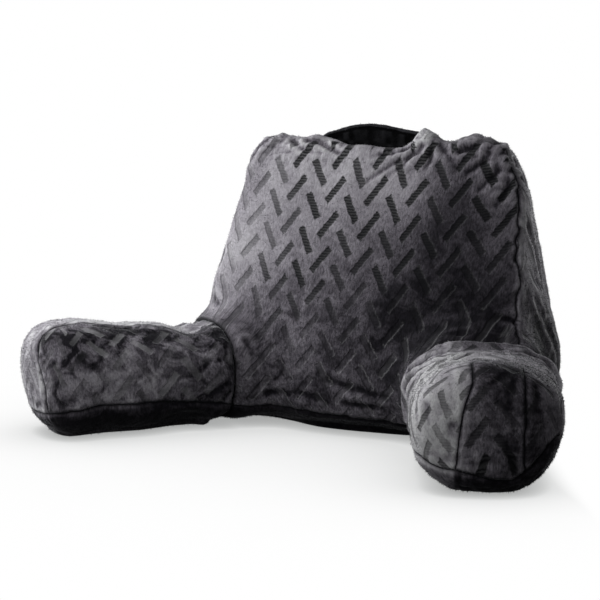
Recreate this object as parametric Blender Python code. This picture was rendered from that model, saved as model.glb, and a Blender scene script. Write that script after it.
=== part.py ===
"""Reading pillow with arms: a backrest cushion, two splayed bolster arms and a carrying strap.

Metres, +Z up. The pillow faces -Y and stands on Z = 0, and its box is centred on the origin.
The shapes are worked out on the sewing lines of the cushion first, in a frame whose Y = 0 is
the front seam of the backrest at lap height, and are centred at the end.
"""
import math

import bmesh
import bpy
import numpy as np
from mathutils import Matrix, Vector, noise
from mathutils.bvhtree import BVHTree

PIECE_GAP = 0.0003

# ---- Backrest -------------------------------------------------------------------------------
# Rows of the gusset from the base seam to the shoulders: height, half width at the front seam,
# half width at the back seam, Y of the front seam, Y of the back seam.
BACKREST_ROWS = (
    (0.040, 0.278, 0.256, -0.030, 0.194),
    (0.120, 0.283, 0.257, -0.014, 0.198),
    (0.180, 0.281, 0.248, 0.000, 0.192),
    (0.300, 0.265, 0.230, 0.033, 0.171),
    (0.440, 0.240, 0.205, 0.068, 0.152),
)
# The top edge between its high and low places: X, height.
TOP_ROWS = (
    (-0.243, 0.448),
    (-0.200, 0.460),
    (-0.137, 0.454),
    (-0.112, 0.457),
    (-0.050, 0.452),
    (0.045, 0.448),
    (0.112, 0.455),
    (0.155, 0.464),
    (0.185, 0.461),
    (0.243, 0.434),
)
# How fast the top edge's ups and downs die out below it: the power of the share of height.
TOP_EDGE_REACH = 4
BASE_SEAM = BACKREST_ROWS[0][0]
# Powers of the rounded outlines: higher is squarer.
CORNER_POWER = 13.0
FRONT_CROWN = 0.034
BACK_CROWN = 0.022
SIDE_CROWN = 0.010
TOP_CROWN = 0.004
TOP_FALL = 0.012
BASE_CROWN = 0.052
CROWN_POWER = 0.62
# How far the middle of the base seam bows towards the lap.
BASE_BOW = 0.036
GRID_CELLS = 28

# ---- Arms -----------------------------------------------------------------------------------
ARM_SPLAY = math.radians(31.4)
JOINT_X = 0.242
JOINT_Y = -0.056
ARM_LENGTH = 0.308
ARM_POWER = 2.5
# Along the arm from its joint: distance, height of the underside, height of the top, half width.
ARM_ROWS = (
    (-0.160, 0.000, 0.182, 0.106),
    (0.000, 0.003, 0.174, 0.110),
    (0.060, 0.000, 0.162, 0.104),
    (0.140, -0.002, 0.163, 0.101),
    (0.240, -0.002, 0.177, 0.102),
    (0.320, -0.002, 0.178, 0.102),
)
NOSE_LENGTH = 0.080
NOSE_POWER = 3.1
NOSE_LEAN = 0.012
STRIP_HALF_WIDTH = 0.041
ARM_BASE_SEAM = 0.042
ARM_RINGS = 44
NOSE_RINGS = 22
ARM_STEPS = 96
STUB_RINGS = 12
# The backrest reaches out to each joint on a stub: how far the stub runs back into the
# backrest and past the joint before it is cut, and how far from the arm's axis it is felt.
STUB_LENGTH = 0.150
STUB_EXTRA = 0.030
STUB_REACH = 0.135

# ---- Seams, fillets and folds ---------------------------------------------------------------
SEAM_DEPTH = 0.0045
SEAM_WIDTH = 0.009
SEAM_END_FADE = 0.004
JOINT_DRAW_IN = 0.010
JOINT_ROUNDING = 0.011
LIP_HEIGHT = 0.004
LIP_PLACE = 0.026
LIP_WIDTH = 0.010
FILLET_REACH = 0.030
FILLET_PASSES = 40
VOXEL = 0.0075
LUMP_HEIGHT = 0.0035
LUMP_SPAN = 0.085
LUMP_SHIFT = (3.1, 1.7, 2.3)
BACKREST_LUMPS = 1.0
ARM_LUMPS = {-1: 4.0, 1: 6.0}
# The share of a fold's depth that is gone at its far end.
FOLD_FADE = 0.6
SETTLE_REACH = 0.0006

# Soft folds of the backrest's cover: both ends (X, Y, Z), width, depth. A fold is deepest at
# its first end.
BACKREST_FOLDS = (
    ((-0.262, -0.030, 0.150), (-0.170, -0.075, 0.060), 0.012, 0.007),
    ((-0.275, -0.040, 0.115), (-0.205, -0.080, 0.050), 0.010, 0.006),
    ((-0.285, -0.010, 0.200), (-0.190, -0.045, 0.120), 0.014, 0.006),
    ((-0.215, -0.085, 0.150), (-0.150, -0.070, 0.105), 0.012, 0.005),
    ((0.290, 0.000, 0.210), (0.235, -0.030, 0.190), 0.012, 0.006),
    ((0.205, -0.060, 0.215), (0.160, -0.060, 0.170), 0.012, 0.005),
    ((0.243, 0.060, 0.430), (0.205, 0.045, 0.385), 0.010, 0.007),
    ((0.225, 0.063, 0.450), (0.185, 0.050, 0.405), 0.009, 0.006),
    ((0.200, 0.068, 0.462), (0.150, 0.055, 0.430), 0.009, 0.005),
    ((0.250, 0.052, 0.405), (0.225, 0.040, 0.350), 0.010, 0.005),
    ((0.130, 0.068, 0.455), (0.070, 0.040, 0.405), 0.010, 0.006),
    ((0.085, 0.066, 0.445), (0.035, 0.040, 0.400), 0.009, 0.005),
    ((0.060, 0.066, 0.440), (-0.030, 0.045, 0.415), 0.008, 0.004),
    ((-0.100, 0.068, 0.452), (-0.040, 0.045, 0.420), 0.009, 0.005),
    ((-0.160, 0.068, 0.458), (-0.215, 0.055, 0.430), 0.010, 0.005),
    ((-0.120, 0.120, 0.462), (-0.180, 0.090, 0.462), 0.010, 0.006),
    ((-0.060, -0.098, 0.075), (0.060, -0.100, 0.070), 0.014, 0.004),
    ((0.060, -0.095, 0.100), (0.140, -0.095, 0.085), 0.014, 0.004),
)
# The hollow that fingers reach into, along the top under the strap.
HOLLOW_X = -0.015
HOLLOW_Y = 0.091
HOLLOW_HALF_LENGTH = 0.058
HOLLOW_WIDTH = 0.017
HOLLOW_DEPTH = 0.024
HOLLOW_LOWEST = 0.400
# Fuller places: the cover gathered at the strap's ends, the left shoulder and the left arm's
# root. X, Y, Z, radius, height.
BACKREST_PUFFS = (
    (0.078, 0.084, 0.452, 0.018, 0.028),
    (-0.128, 0.090, 0.456, 0.020, 0.006),
    (-0.230, 0.085, 0.435, 0.040, 0.008),
    (-0.285, -0.005, 0.165, 0.050, 0.009),
)

# Soft folds of the arms, in each arm's own frame: distance from the joint, distance towards
# the lap, height, at both ends, then width and depth.
ARM_FOLDS = (
    ((0.010, 0.100, 0.120), (0.055, 0.100, 0.070), 0.010, 0.006),
    ((0.008, 0.100, 0.085), (0.045, 0.098, 0.045), 0.009, 0.005),
    ((0.012, 0.070, 0.165), (0.060, 0.095, 0.130), 0.010, 0.005),
    ((0.015, -0.080, 0.155), (0.060, -0.100, 0.115), 0.010, 0.005),
    ((0.012, -0.100, 0.090), (0.055, -0.100, 0.060), 0.010, 0.005),
    ((0.110, 0.105, 0.105), (0.165, 0.103, 0.080), 0.013, 0.003),
    ((0.215, 0.085, 0.150), (0.245, 0.070, 0.115), 0.010, 0.004),
)

# ---- Carrying strap -------------------------------------------------------------------------
STRAP_Y = 0.083
STRAP_THICKNESS = 0.0056
STRAP_GAP = 0.00045
STRAP_STEPS = 44
# The band's section: share of half its thickness, share of its height.
STRAP_OUTLINE = (
    (-0.6, 0.0), (-1.0, 0.12), (-1.0, 0.5), (-1.0, 0.88), (-0.6, 1.0),
    (0.6, 1.0), (1.0, 0.88), (1.0, 0.5), (1.0, 0.12), (0.6, 0.0),
)
# X, height of the lower edge, height of the upper edge.
STRAP_ROWS = (
    (-0.122, 0.452, 0.4570),
    (-0.105, 0.450, 0.4655),
    (-0.080, 0.4475, 0.4725),
    (-0.050, 0.4500, 0.4795),
    (-0.025, 0.4490, 0.4815),
    (0.005, 0.4470, 0.4790),
    (0.035, 0.4455, 0.4735),
    (0.062, 0.4440, 0.4690),
    (0.080, 0.4450, 0.4650),
)

# ---- Triangle budgets -----------------------------------------------------------------------
BACKREST_FACES = 5200
ARM_FACES = 1900

PLUSH_COLOUR = (0.045, 0.046, 0.050, 1.0)
STRAP_COLOUR = (0.012, 0.012, 0.014, 1.0)
CLOTH_ROUGHNESS = 0.9


def clear_scene():
    """Empty the start-up scene."""
    for old in list(bpy.data.objects):
        bpy.data.objects.remove(old, do_unlink=True)


def cloth_material(name, colour):
    """Plain matt cloth in one colour."""
    material = bpy.data.materials.new(name)
    material.use_nodes = True
    shader = material.node_tree.nodes["Principled BSDF"]
    shader.inputs["Base Color"].default_value = colour
    shader.inputs["Roughness"].default_value = CLOTH_ROUGHNESS
    shader.inputs["Metallic"].default_value = 0.0
    return material


def eased_rows(rows, column, place):
    """Read a table between its rows, level at each row, as a slack edge lies."""
    rows = np.array(rows, dtype=float)
    keys = rows[:, 0]
    index = np.clip(np.searchsorted(keys, place) - 1, 0, len(keys) - 2)
    part = np.clip((place - keys[index]) / (keys[index + 1] - keys[index]), 0.0, 1.0)
    ease = (1.0 - np.cos(np.pi * part)) / 2.0
    return rows[index, column] * (1.0 - ease) + rows[index + 1, column] * ease


def backrest_row(column, height):
    """Read the gusset's table at a height."""
    rows = np.array(BACKREST_ROWS)
    return np.interp(height, rows[:, 0], rows[:, column])


def rounded(u, v):
    """Pull a square's corners in to a rounded outline."""
    reach = np.maximum(np.abs(u), np.abs(v))
    norm = (np.abs(u) ** CORNER_POWER + np.abs(v) ** CORNER_POWER) ** (1.0 / CORNER_POWER)
    pull = reach / np.maximum(norm, 1e-9)
    return u * pull, v * pull


def backrest_points(u, v, w):
    """Place points of a cube's surface (u across, v up, w from front to back) on the backrest."""
    u, v = rounded(u, v)
    back = (w + 1.0) / 2.0
    rise = (v + 1.0) / 2.0
    shoulder = BACKREST_ROWS[-1][0]
    row_height = BASE_SEAM + rise * (shoulder - BASE_SEAM)
    half = backrest_row(1, row_height) * (1.0 - back) + backrest_row(2, row_height) * back
    x = u * half
    top_edge = eased_rows(TOP_ROWS, 1, x) - TOP_FALL * back
    z = row_height + (top_edge - shoulder) * rise ** TOP_EDGE_REACH
    y = backrest_row(3, row_height) * (1.0 - back) + backrest_row(4, row_height) * back

    across = np.clip(1.0 - u ** 2, 0.0, 1.0)
    upright = np.clip(1.0 - v ** 2, 0.0, 1.0)
    deep = np.clip(1.0 - w ** 2, 0.0, 1.0)
    panel = (across * upright) ** CROWN_POWER
    y += panel * (BACK_CROWN * back - FRONT_CROWN * (1.0 - back))
    y -= BASE_BOW * across * (1.0 - rise) ** 2 * (1.0 - back)
    x += SIDE_CROWN * u * (upright * deep) ** CROWN_POWER
    z += TOP_CROWN * rise * (across * deep) ** CROWN_POWER
    z -= BASE_CROWN * (1.0 - rise) * (across * deep) ** CROWN_POWER
    return np.stack([x, y, z], axis=1)


def mesh_points(mesh):
    """The mesh's points as an array."""
    points = np.empty(len(mesh.vertices) * 3, dtype=np.float32)
    mesh.vertices.foreach_get("co", points)
    return points.reshape(-1, 3).astype(float)


def set_mesh_points(mesh, points):
    """Write an array back as the mesh's points."""
    mesh.vertices.foreach_set("co", points.astype(np.float32).ravel())
    mesh.update()


def point_normals(mesh):
    """The normal at each point."""
    normals = np.empty(len(mesh.vertices) * 3, dtype=np.float32)
    mesh.vertex_normals.foreach_get("vector", normals)
    return normals.reshape(-1, 3).astype(float)


def new_object(name, mesh):
    """Link a new object that holds the mesh."""
    made = bpy.data.objects.new(name, mesh)
    bpy.context.scene.collection.objects.link(made)
    return made


def baked(made, name):
    """Replace an object by the mesh that its modifiers give."""
    graph = bpy.context.evaluated_depsgraph_get()
    mesh = bpy.data.meshes.new_from_object(made.evaluated_get(graph))
    mesh.name = name
    bpy.data.objects.remove(made, do_unlink=True)
    return new_object(name, mesh)


def block_mesh():
    """The backrest's block: a gridded cube pulled on to the gusset's table."""
    shell = bmesh.new()
    bmesh.ops.create_cube(shell, size=2.0)
    bmesh.ops.subdivide_edges(shell, edges=shell.edges[:], cuts=GRID_CELLS - 1, use_grid_fill=True)
    mesh = bpy.data.meshes.new("backrest block")
    shell.to_mesh(mesh)
    shell.free()
    cube = mesh_points(mesh)
    set_mesh_points(mesh, backrest_points(cube[:, 0], cube[:, 1], cube[:, 2]))
    upright = bmesh.new()
    upright.from_mesh(mesh)
    bmesh.ops.recalc_face_normals(upright, faces=upright.faces[:])
    upright.to_mesh(mesh)
    upright.free()
    return mesh


def arm_section(along):
    """The arm's rounded section at a distance from its joint: offsets across and up, centre."""
    under, top, half = (eased_rows(ARM_ROWS, column, along) for column in (1, 2, 3))
    turn = np.arange(ARM_STEPS) * 2.0 * math.pi / ARM_STEPS
    across = np.sign(np.cos(turn)) * np.abs(np.cos(turn)) ** (2.0 / ARM_POWER)
    upward = np.sign(np.sin(turn)) * np.abs(np.sin(turn)) ** (2.0 / ARM_POWER)
    return half * across, (top - under) / 2.0 * upward, (top + under) / 2.0


def loft(name, rings, tip=None):
    """Skin a list of rings, close the first flat, and the last flat or with a tip point."""
    shell = bmesh.new()
    rows = [[shell.verts.new(point) for point in ring] for ring in rings]
    steps = len(rings[0])
    for lower, upper in zip(rows, rows[1:]):
        for step in range(steps):
            ahead = (step + 1) % steps
            shell.faces.new((lower[step], lower[ahead], upper[ahead], upper[step]))
    shell.faces.new(rows[0])
    if tip is None:
        shell.faces.new(rows[-1])
    else:
        point = shell.verts.new(tip)
        for step in range(steps):
            shell.faces.new((rows[-1][step], rows[-1][(step + 1) % steps], point))
    bmesh.ops.recalc_face_normals(shell, faces=shell.faces[:])
    bmesh.ops.triangulate(shell, faces=[face for face in shell.faces if len(face.verts) > 4])
    mesh = bpy.data.meshes.new(name)
    shell.to_mesh(mesh)
    shell.free()
    return mesh


def arm_matrix(side):
    """The frame of one arm: X along the arm from its joint, Z up. side is -1 left, +1 right."""
    turn = -math.pi / 2.0 + side * ARM_SPLAY
    return Matrix.Translation((side * JOINT_X, JOINT_Y, 0.0)) @ Matrix.Rotation(turn, 4, "Z")


def arm_frame(points, side):
    """Points in an arm's own frame: along, towards the lap, up."""
    turn = np.array(arm_matrix(side).inverted())
    local = points @ turn[:3, :3].T + turn[:3, 3]
    local[:, 1] *= -side
    return local


def arm_stub(name, start, end, side):
    """A plain length of the arm's section between two distances from the joint."""
    rings = []
    for along in np.linspace(start, end, STUB_RINGS):
        across, upward, centre = arm_section(along)
        ring = np.stack([np.full(ARM_STEPS, along), across, upward + centre], axis=1)
        rings.append(ring.tolist())
    made = new_object(name, loft(name, rings))
    made.data.transform(arm_matrix(side))
    return made


def nearest_distance(tree, points):
    """Distance from each point to a surface."""
    return np.array([tree.find_nearest(Vector(point))[3] for point in points])


def soften_creases(made, parts):
    """Round the inner corners where the arm stubs leave the block, as stretched cloth does."""
    points = mesh_points(made.data)
    nearest = [nearest_distance(part, points) for part in parts]
    spread = nearest[0] ** 2 + np.minimum(nearest[1], nearest[2]) ** 2
    weight = np.exp(-spread / FILLET_REACH ** 2)[:, None]
    edges = np.empty(len(made.data.edges) * 2, dtype=np.int32)
    made.data.edges.foreach_get("vertices", edges)
    edges = edges.reshape(-1, 2)
    count = np.bincount(edges.ravel(), minlength=len(points))[:, None]
    for _ in range(FILLET_PASSES):
        total = np.zeros_like(points)
        np.add.at(total, edges[:, 0], points[edges[:, 1]])
        np.add.at(total, edges[:, 1], points[edges[:, 0]])
        points += weight * (total / count - points)
    set_mesh_points(made.data, points)


def bell(distance, width):
    """A smooth bump that is 1 at zero distance."""
    return np.exp(-(distance / width) ** 2)


def fold_depth(points, folds):
    """How far soft folds draw each point in."""
    depth = np.zeros(len(points))
    for start, end, width, fold in folds:
        start = np.array(start)
        run = np.array(end) - start
        part = np.clip((points - start) @ run / (run @ run), 0.0, 1.0)
        distance = np.linalg.norm(points - (start + part[:, None] * run), axis=1)
        depth += fold * (1.0 - FOLD_FADE * part) * bell(distance, width)
    return depth


def filling_lumps(points, seed):
    """The unevenness of a loose filling."""
    shift = Vector(LUMP_SHIFT) * seed
    lumps = [noise.noise(Vector(point) / LUMP_SPAN + shift) for point in points]
    return LUMP_HEIGHT * np.array(lumps)


def shape_backrest(made):
    """Draw in the seams and folds of the backrest and add its filling's lumps."""
    mesh = made.data
    points = mesh_points(mesh)
    normals = point_normals(mesh)
    push = filling_lumps(points, BACKREST_LUMPS) - fold_depth(points, BACKREST_FOLDS)
    hollow = bell(points[:, 1] - HOLLOW_Y, HOLLOW_WIDTH) * (points[:, 2] > HOLLOW_LOWEST)
    push -= HOLLOW_DEPTH * hollow * bell((points[:, 0] - HOLLOW_X) ** 2, HOLLOW_HALF_LENGTH ** 2)
    for x, y, z, radius, height in BACKREST_PUFFS:
        push += height * bell(np.linalg.norm(points - (x, y, z), axis=1), radius)
    for side in (-1, 1):
        local = arm_frame(points, side)
        on_stub = np.abs(local[:, 1]) < STUB_REACH
        push -= JOINT_DRAW_IN * bell(np.minimum(local[:, 0], 0.0), JOINT_ROUNDING) * on_stub
    push -= SEAM_DEPTH * bell(points[:, 2] - BASE_SEAM, SEAM_WIDTH)
    set_mesh_points(mesh, points + normals * push[:, None])


def cut_flat(mesh, point, normal):
    """Cut away what lies beyond a plane and close the cut with a flat face."""
    shell = bmesh.new()
    shell.from_mesh(mesh)
    everything = shell.verts[:] + shell.edges[:] + shell.faces[:]
    cut = bmesh.ops.bisect_plane(shell, geom=everything, dist=1e-6, plane_co=point,
                                 plane_no=normal, clear_outer=True)
    rim = [part for part in cut["geom_cut"] if isinstance(part, bmesh.types.BMEdge)]
    bmesh.ops.contextual_create(shell, geom=rim)
    bmesh.ops.recalc_face_normals(shell, faces=shell.faces[:])
    bmesh.ops.triangulate(shell, faces=shell.faces[:])
    shell.to_mesh(mesh)
    shell.free()


def thin_out(made, faces):
    """Bring a piece down to a number of triangles."""
    name = made.name
    thinning = made.modifiers.new("thin out", "DECIMATE")
    thinning.ratio = faces / len(made.data.polygons)
    return baked(made, name)


def settle(mesh, point, normal):
    """Put points that lie beyond a plane, or nearly on it, exactly on it."""
    points = mesh_points(mesh)
    point = np.array(point)
    normal = np.array(normal)
    above = (points - point) @ normal
    near = above > -SETTLE_REACH
    points[near] -= above[near, None] * normal
    set_mesh_points(mesh, points)


def joint_plane(side, gap):
    """A point and the outward normal of the plane where an arm meets the backrest."""
    matrix = arm_matrix(side)
    along = matrix.to_3x3() @ Vector((1.0, 0.0, 0.0))
    return matrix.translation + along * gap, along


def build_backrest(material):
    """The backrest with the two short stubs that its arms are sewn to."""
    made = new_object("backrest", block_mesh())
    trees = [BVHTree.FromObject(made, bpy.context.evaluated_depsgraph_get())]
    for side in (-1, 1):
        stub = arm_stub("stub", -STUB_LENGTH, STUB_EXTRA, side)
        bpy.context.view_layer.update()
        trees.append(BVHTree.FromObject(stub, bpy.context.evaluated_depsgraph_get()))
        union = made.modifiers.new("stub", "BOOLEAN")
        union.operation = "UNION"
        union.object = stub
    skin = made.modifiers.new("skin", "REMESH")
    skin.mode = "VOXEL"
    skin.voxel_size = VOXEL
    made = baked(made, "backrest")
    for stub in [old for old in bpy.data.objects if old.name.startswith("stub")]:
        bpy.data.objects.remove(stub, do_unlink=True)
    soften_creases(made, trees)
    shape_backrest(made)
    flats = [joint_plane(-1, 0.0), joint_plane(1, 0.0)]
    flats.append((Vector((0.0, 0.0, 0.0)), Vector((0.0, 0.0, -1.0))))
    for point, normal in flats:
        cut_flat(made.data, point, normal)
    made = thin_out(made, BACKREST_FACES)
    for point, normal in flats:
        settle(made.data, point, normal)
    made.data.materials.append(material)
    return made


def arm_rings(side):
    """Rings of an arm from its joint to its rounded front end, in the arm's own frame."""
    straight = ARM_LENGTH - NOSE_LENGTH
    rows = [(along, 1.0) for along in np.linspace(PIECE_GAP, straight, ARM_RINGS)]
    for turn in np.linspace(0.0, math.pi / 2.0, NOSE_RINGS)[1:-1]:
        reach = math.sin(turn) ** (2.0 / NOSE_POWER)
        rows.append((straight + NOSE_LENGTH * reach, math.cos(turn) ** (2.0 / NOSE_POWER)))
    rings = []
    for along, scale in rows:
        across, upward, centre = arm_section(along)
        height = upward * scale + centre
        lean = NOSE_LEAN * (1.0 - height / (2.0 * centre))
        lean = lean * max(along - straight, 0.0) / NOSE_LENGTH
        rings.append(np.stack([along - lean, -side * across * scale, height], axis=1).tolist())
    tip = (ARM_LENGTH - NOSE_LEAN / 2.0, 0.0, arm_section(ARM_LENGTH)[2])
    return rings, tip


def build_arm(name, side, material):
    """One bolster arm: side panels, the strip over its top and end, and its base."""
    rings, tip = arm_rings(side)
    mesh = loft(name, rings, tip)
    points = mesh_points(mesh)
    normals = point_normals(mesh)
    local = points * (1.0, -side, 1.0)
    along = local[:, 0]
    above_seam = 1.0 / (1.0 + np.exp(-(local[:, 2] - ARM_BASE_SEAM) / SEAM_END_FADE))
    push = filling_lumps(points, ARM_LUMPS[side]) - fold_depth(local, ARM_FOLDS)
    strip_seam = np.abs(np.abs(local[:, 1]) - STRIP_HALF_WIDTH)
    push -= SEAM_DEPTH * bell(strip_seam, SEAM_WIDTH) * above_seam
    push -= SEAM_DEPTH * bell(local[:, 2] - ARM_BASE_SEAM, SEAM_WIDTH)
    push -= JOINT_DRAW_IN * bell(along, JOINT_ROUNDING)
    push += LIP_HEIGHT * bell(along - LIP_PLACE, LIP_WIDTH)
    normals[along < PIECE_GAP * 2.0, 0] = 0.0
    set_mesh_points(mesh, points + normals * push[:, None])
    mesh.transform(arm_matrix(side))
    made = new_object(name, mesh)
    point, outward = joint_plane(side, PIECE_GAP)
    flats = [(Vector((0.0, 0.0, 0.0)), Vector((0.0, 0.0, -1.0))), (point, -outward)]
    cut_flat(made.data, *flats[0])
    made = thin_out(made, ARM_FACES)
    for point, normal in flats:
        settle(made.data, point, normal)
    made.data.materials.append(material)
    return made


def build_strap(backrest, material):
    """The carrying strap: a band on edge that arches along the top, clear of the backrest."""
    places = np.linspace(STRAP_ROWS[0][0], STRAP_ROWS[-1][0], STRAP_STEPS)
    lower = np.interp(places, *np.array(STRAP_ROWS)[:, :2].T)
    upper = np.interp(places, *np.array(STRAP_ROWS)[:, ::2].T)
    half = STRAP_THICKNESS / 2.0
    rings = []
    for x, low, high in zip(places, lower, upper):
        ring = [(x, STRAP_Y + half * side, low + (high - low) * up) for side, up in STRAP_OUTLINE]
        rings.append(ring)
    made = new_object("handle", loft("handle", rings))
    clearance = backrest.copy()
    clearance.data = backrest.data.copy()
    clearance.name = "strap clearance"
    bpy.context.scene.collection.objects.link(clearance)
    swell = clearance.modifiers.new("clearance", "DISPLACE")
    swell.strength = STRAP_GAP
    swell.mid_level = 0.0
    clearance = baked(clearance, "strap clearance")
    trim = made.modifiers.new("clearance", "BOOLEAN")
    trim.operation = "DIFFERENCE"
    trim.object = clearance
    made = baked(made, "handle")
    bpy.data.objects.remove(clearance, do_unlink=True)
    made.data.materials.clear()
    made.data.materials.append(material)
    return made


def centre_on_floor(pieces):
    """Hang the pieces on one empty that puts the middle of their box over the origin."""
    corners = np.concatenate([mesh_points(piece.data) for piece in pieces])
    middle = (corners.min(axis=0) + corners.max(axis=0)) / 2.0
    pillow = bpy.data.objects.new("reading pillow", None)
    bpy.context.scene.collection.objects.link(pillow)
    pillow.location = (-middle[0], -middle[1], 0.0)
    for piece in pieces:
        piece.parent = pillow
        for face in piece.data.polygons:
            face.use_smooth = True


def main():
    clear_scene()
    plush = cloth_material("charcoal plush", PLUSH_COLOUR)
    band = cloth_material("black strap plush", STRAP_COLOUR)
    backrest = build_backrest(plush)
    arms = [build_arm("arm_left", -1, plush), build_arm("arm_right", 1, plush)]
    strap = build_strap(backrest, band)
    centre_on_floor([backrest, *arms, strap])


main()
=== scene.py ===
"""Reading pillow with arms: its plush covers, pressed pattern, seams, pile and carrying strap.

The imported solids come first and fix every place. Each cushion's cover is skinned over its solid
on an even grid, and its seams, folds and pressed dashes are worked into that skin. Places in the
tables below are in metres in the sewing frame, whose Y = 0 is the backrest's front seam at lap
height. Arms have a frame of their own: distance from the joint, distance towards the lap, height.
"""
import math

import bmesh
import bpy
import numpy as np
from mathutils import Matrix, Vector


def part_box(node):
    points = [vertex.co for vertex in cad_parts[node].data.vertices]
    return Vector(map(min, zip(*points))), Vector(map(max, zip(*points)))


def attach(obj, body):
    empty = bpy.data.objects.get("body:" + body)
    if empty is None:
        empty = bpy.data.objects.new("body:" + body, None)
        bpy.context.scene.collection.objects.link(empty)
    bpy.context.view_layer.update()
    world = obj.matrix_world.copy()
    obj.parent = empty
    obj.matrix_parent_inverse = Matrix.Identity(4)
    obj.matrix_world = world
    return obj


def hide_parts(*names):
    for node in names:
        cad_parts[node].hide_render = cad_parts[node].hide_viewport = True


bl_info = {
    "name": "Reading pillow with arms",
    "version": (1, 0, 0),
    "blender": (4, 5, 0),
    "location": "3D View > Sidebar > Pillow",
    "description": "Dresses a reading pillow with arms in pressed plush",
    "category": "Object",
}

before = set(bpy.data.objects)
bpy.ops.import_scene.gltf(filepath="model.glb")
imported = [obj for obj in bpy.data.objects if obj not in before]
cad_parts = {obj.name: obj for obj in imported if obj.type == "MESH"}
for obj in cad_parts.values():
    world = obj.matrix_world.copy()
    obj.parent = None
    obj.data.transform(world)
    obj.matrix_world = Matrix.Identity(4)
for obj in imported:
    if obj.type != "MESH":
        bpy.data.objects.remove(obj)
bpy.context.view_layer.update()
STRAP_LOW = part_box("handle")[0][2]
STRAP_MIDDLE = 0.5 * (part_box("handle")[0][0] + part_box("handle")[1][0])

# ---- Places shared with the solids ----------------------------------------------------------
SEWING_SHIFT = np.array((0.00172, 0.06451, 0.0))
# Height, half width at the front seam, half width at the back seam, Y of the front seam, Y of
# the back seam.
BACKREST_ROWS = np.array((
    (0.040, 0.278, 0.256, -0.030, 0.194),
    (0.120, 0.283, 0.257, -0.014, 0.198),
    (0.180, 0.281, 0.248, 0.000, 0.192),
    (0.300, 0.265, 0.230, 0.033, 0.171),
    (0.440, 0.240, 0.205, 0.068, 0.152),
))
BASE_SEAM = 0.040
# How far the weight of the front panel draws the base seam down in front: X, drop.
SEAM_DROP = ((-0.200, 0.000, 0.160, 0.240), (0.000, 0.005, 0.014, 0.014))
# The drop fades from front to back between these Y.
DROP_FADE = (-0.02, 0.08)
PANEL_HALF = 0.24
PANEL_SHARE = 0.065
CORNER_POWER = 13.0
TOP_LEVEL = 0.452
# How much lower than the front seam the back seam runs along the top.
BACK_FALL = 0.012
ARM_SPLAY = math.radians(31.4)
ARM_JOINT = (0.242, -0.056)
ARM_HALF = 0.102
STRIP_GROOVE = 0.041
# Half width of the strip towards the lap by height; it is even on the outer side.
STRIP_OUTER = 0.045
STRIP_LAP = {
    -1: ((0.040, 0.080, 0.110, 0.142, 0.160), (0.050, 0.056, 0.046, 0.031, 0.021)),
    1: ((0.040, 0.080, 0.115, 0.135, 0.155), (0.043, 0.041, 0.036, 0.030, 0.022)),
}
ARM_TOP = 0.172
# The solids' wide seam grooves, which the cloth bridges: depth and width.
GROOVE_FILL = 0.0038
GROOVE_WIDTH = 0.009
ARM_GROOVE = 0.042
# Height of the seam above the base: along an arm's sides, and across its front end.
SIDE_SEAM = ((0.0, 0.057, 0.135, 0.213, 0.261, 0.300), (0.044, 0.048, 0.053, 0.056, 0.054, 0.040))
END_SEAM = {
    -1: ((-0.10, -0.04, 0.04, 0.09), (0.052, 0.040, 0.040, 0.050)),
    1: ((-0.100, -0.086, -0.075, -0.058, -0.031, -0.006, 0.018, 0.043, 0.065, 0.090),
        (0.088, 0.080, 0.068, 0.046, 0.024, 0.025, 0.032, 0.038, 0.041, 0.050)),
}
NOSE_START = 0.225
NOSE_END = 0.300
PIECE_GAP = 0.0004
# The strap's hem below its top edge, and the slices in which that edge is looked up.
STRAP_HEM = 0.0065
HEM_WIDTH = 0.0016
HEM_DEPTH = 0.0011
STRAP_SLICE = 0.004
NO_SEAM = 1.0

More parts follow.
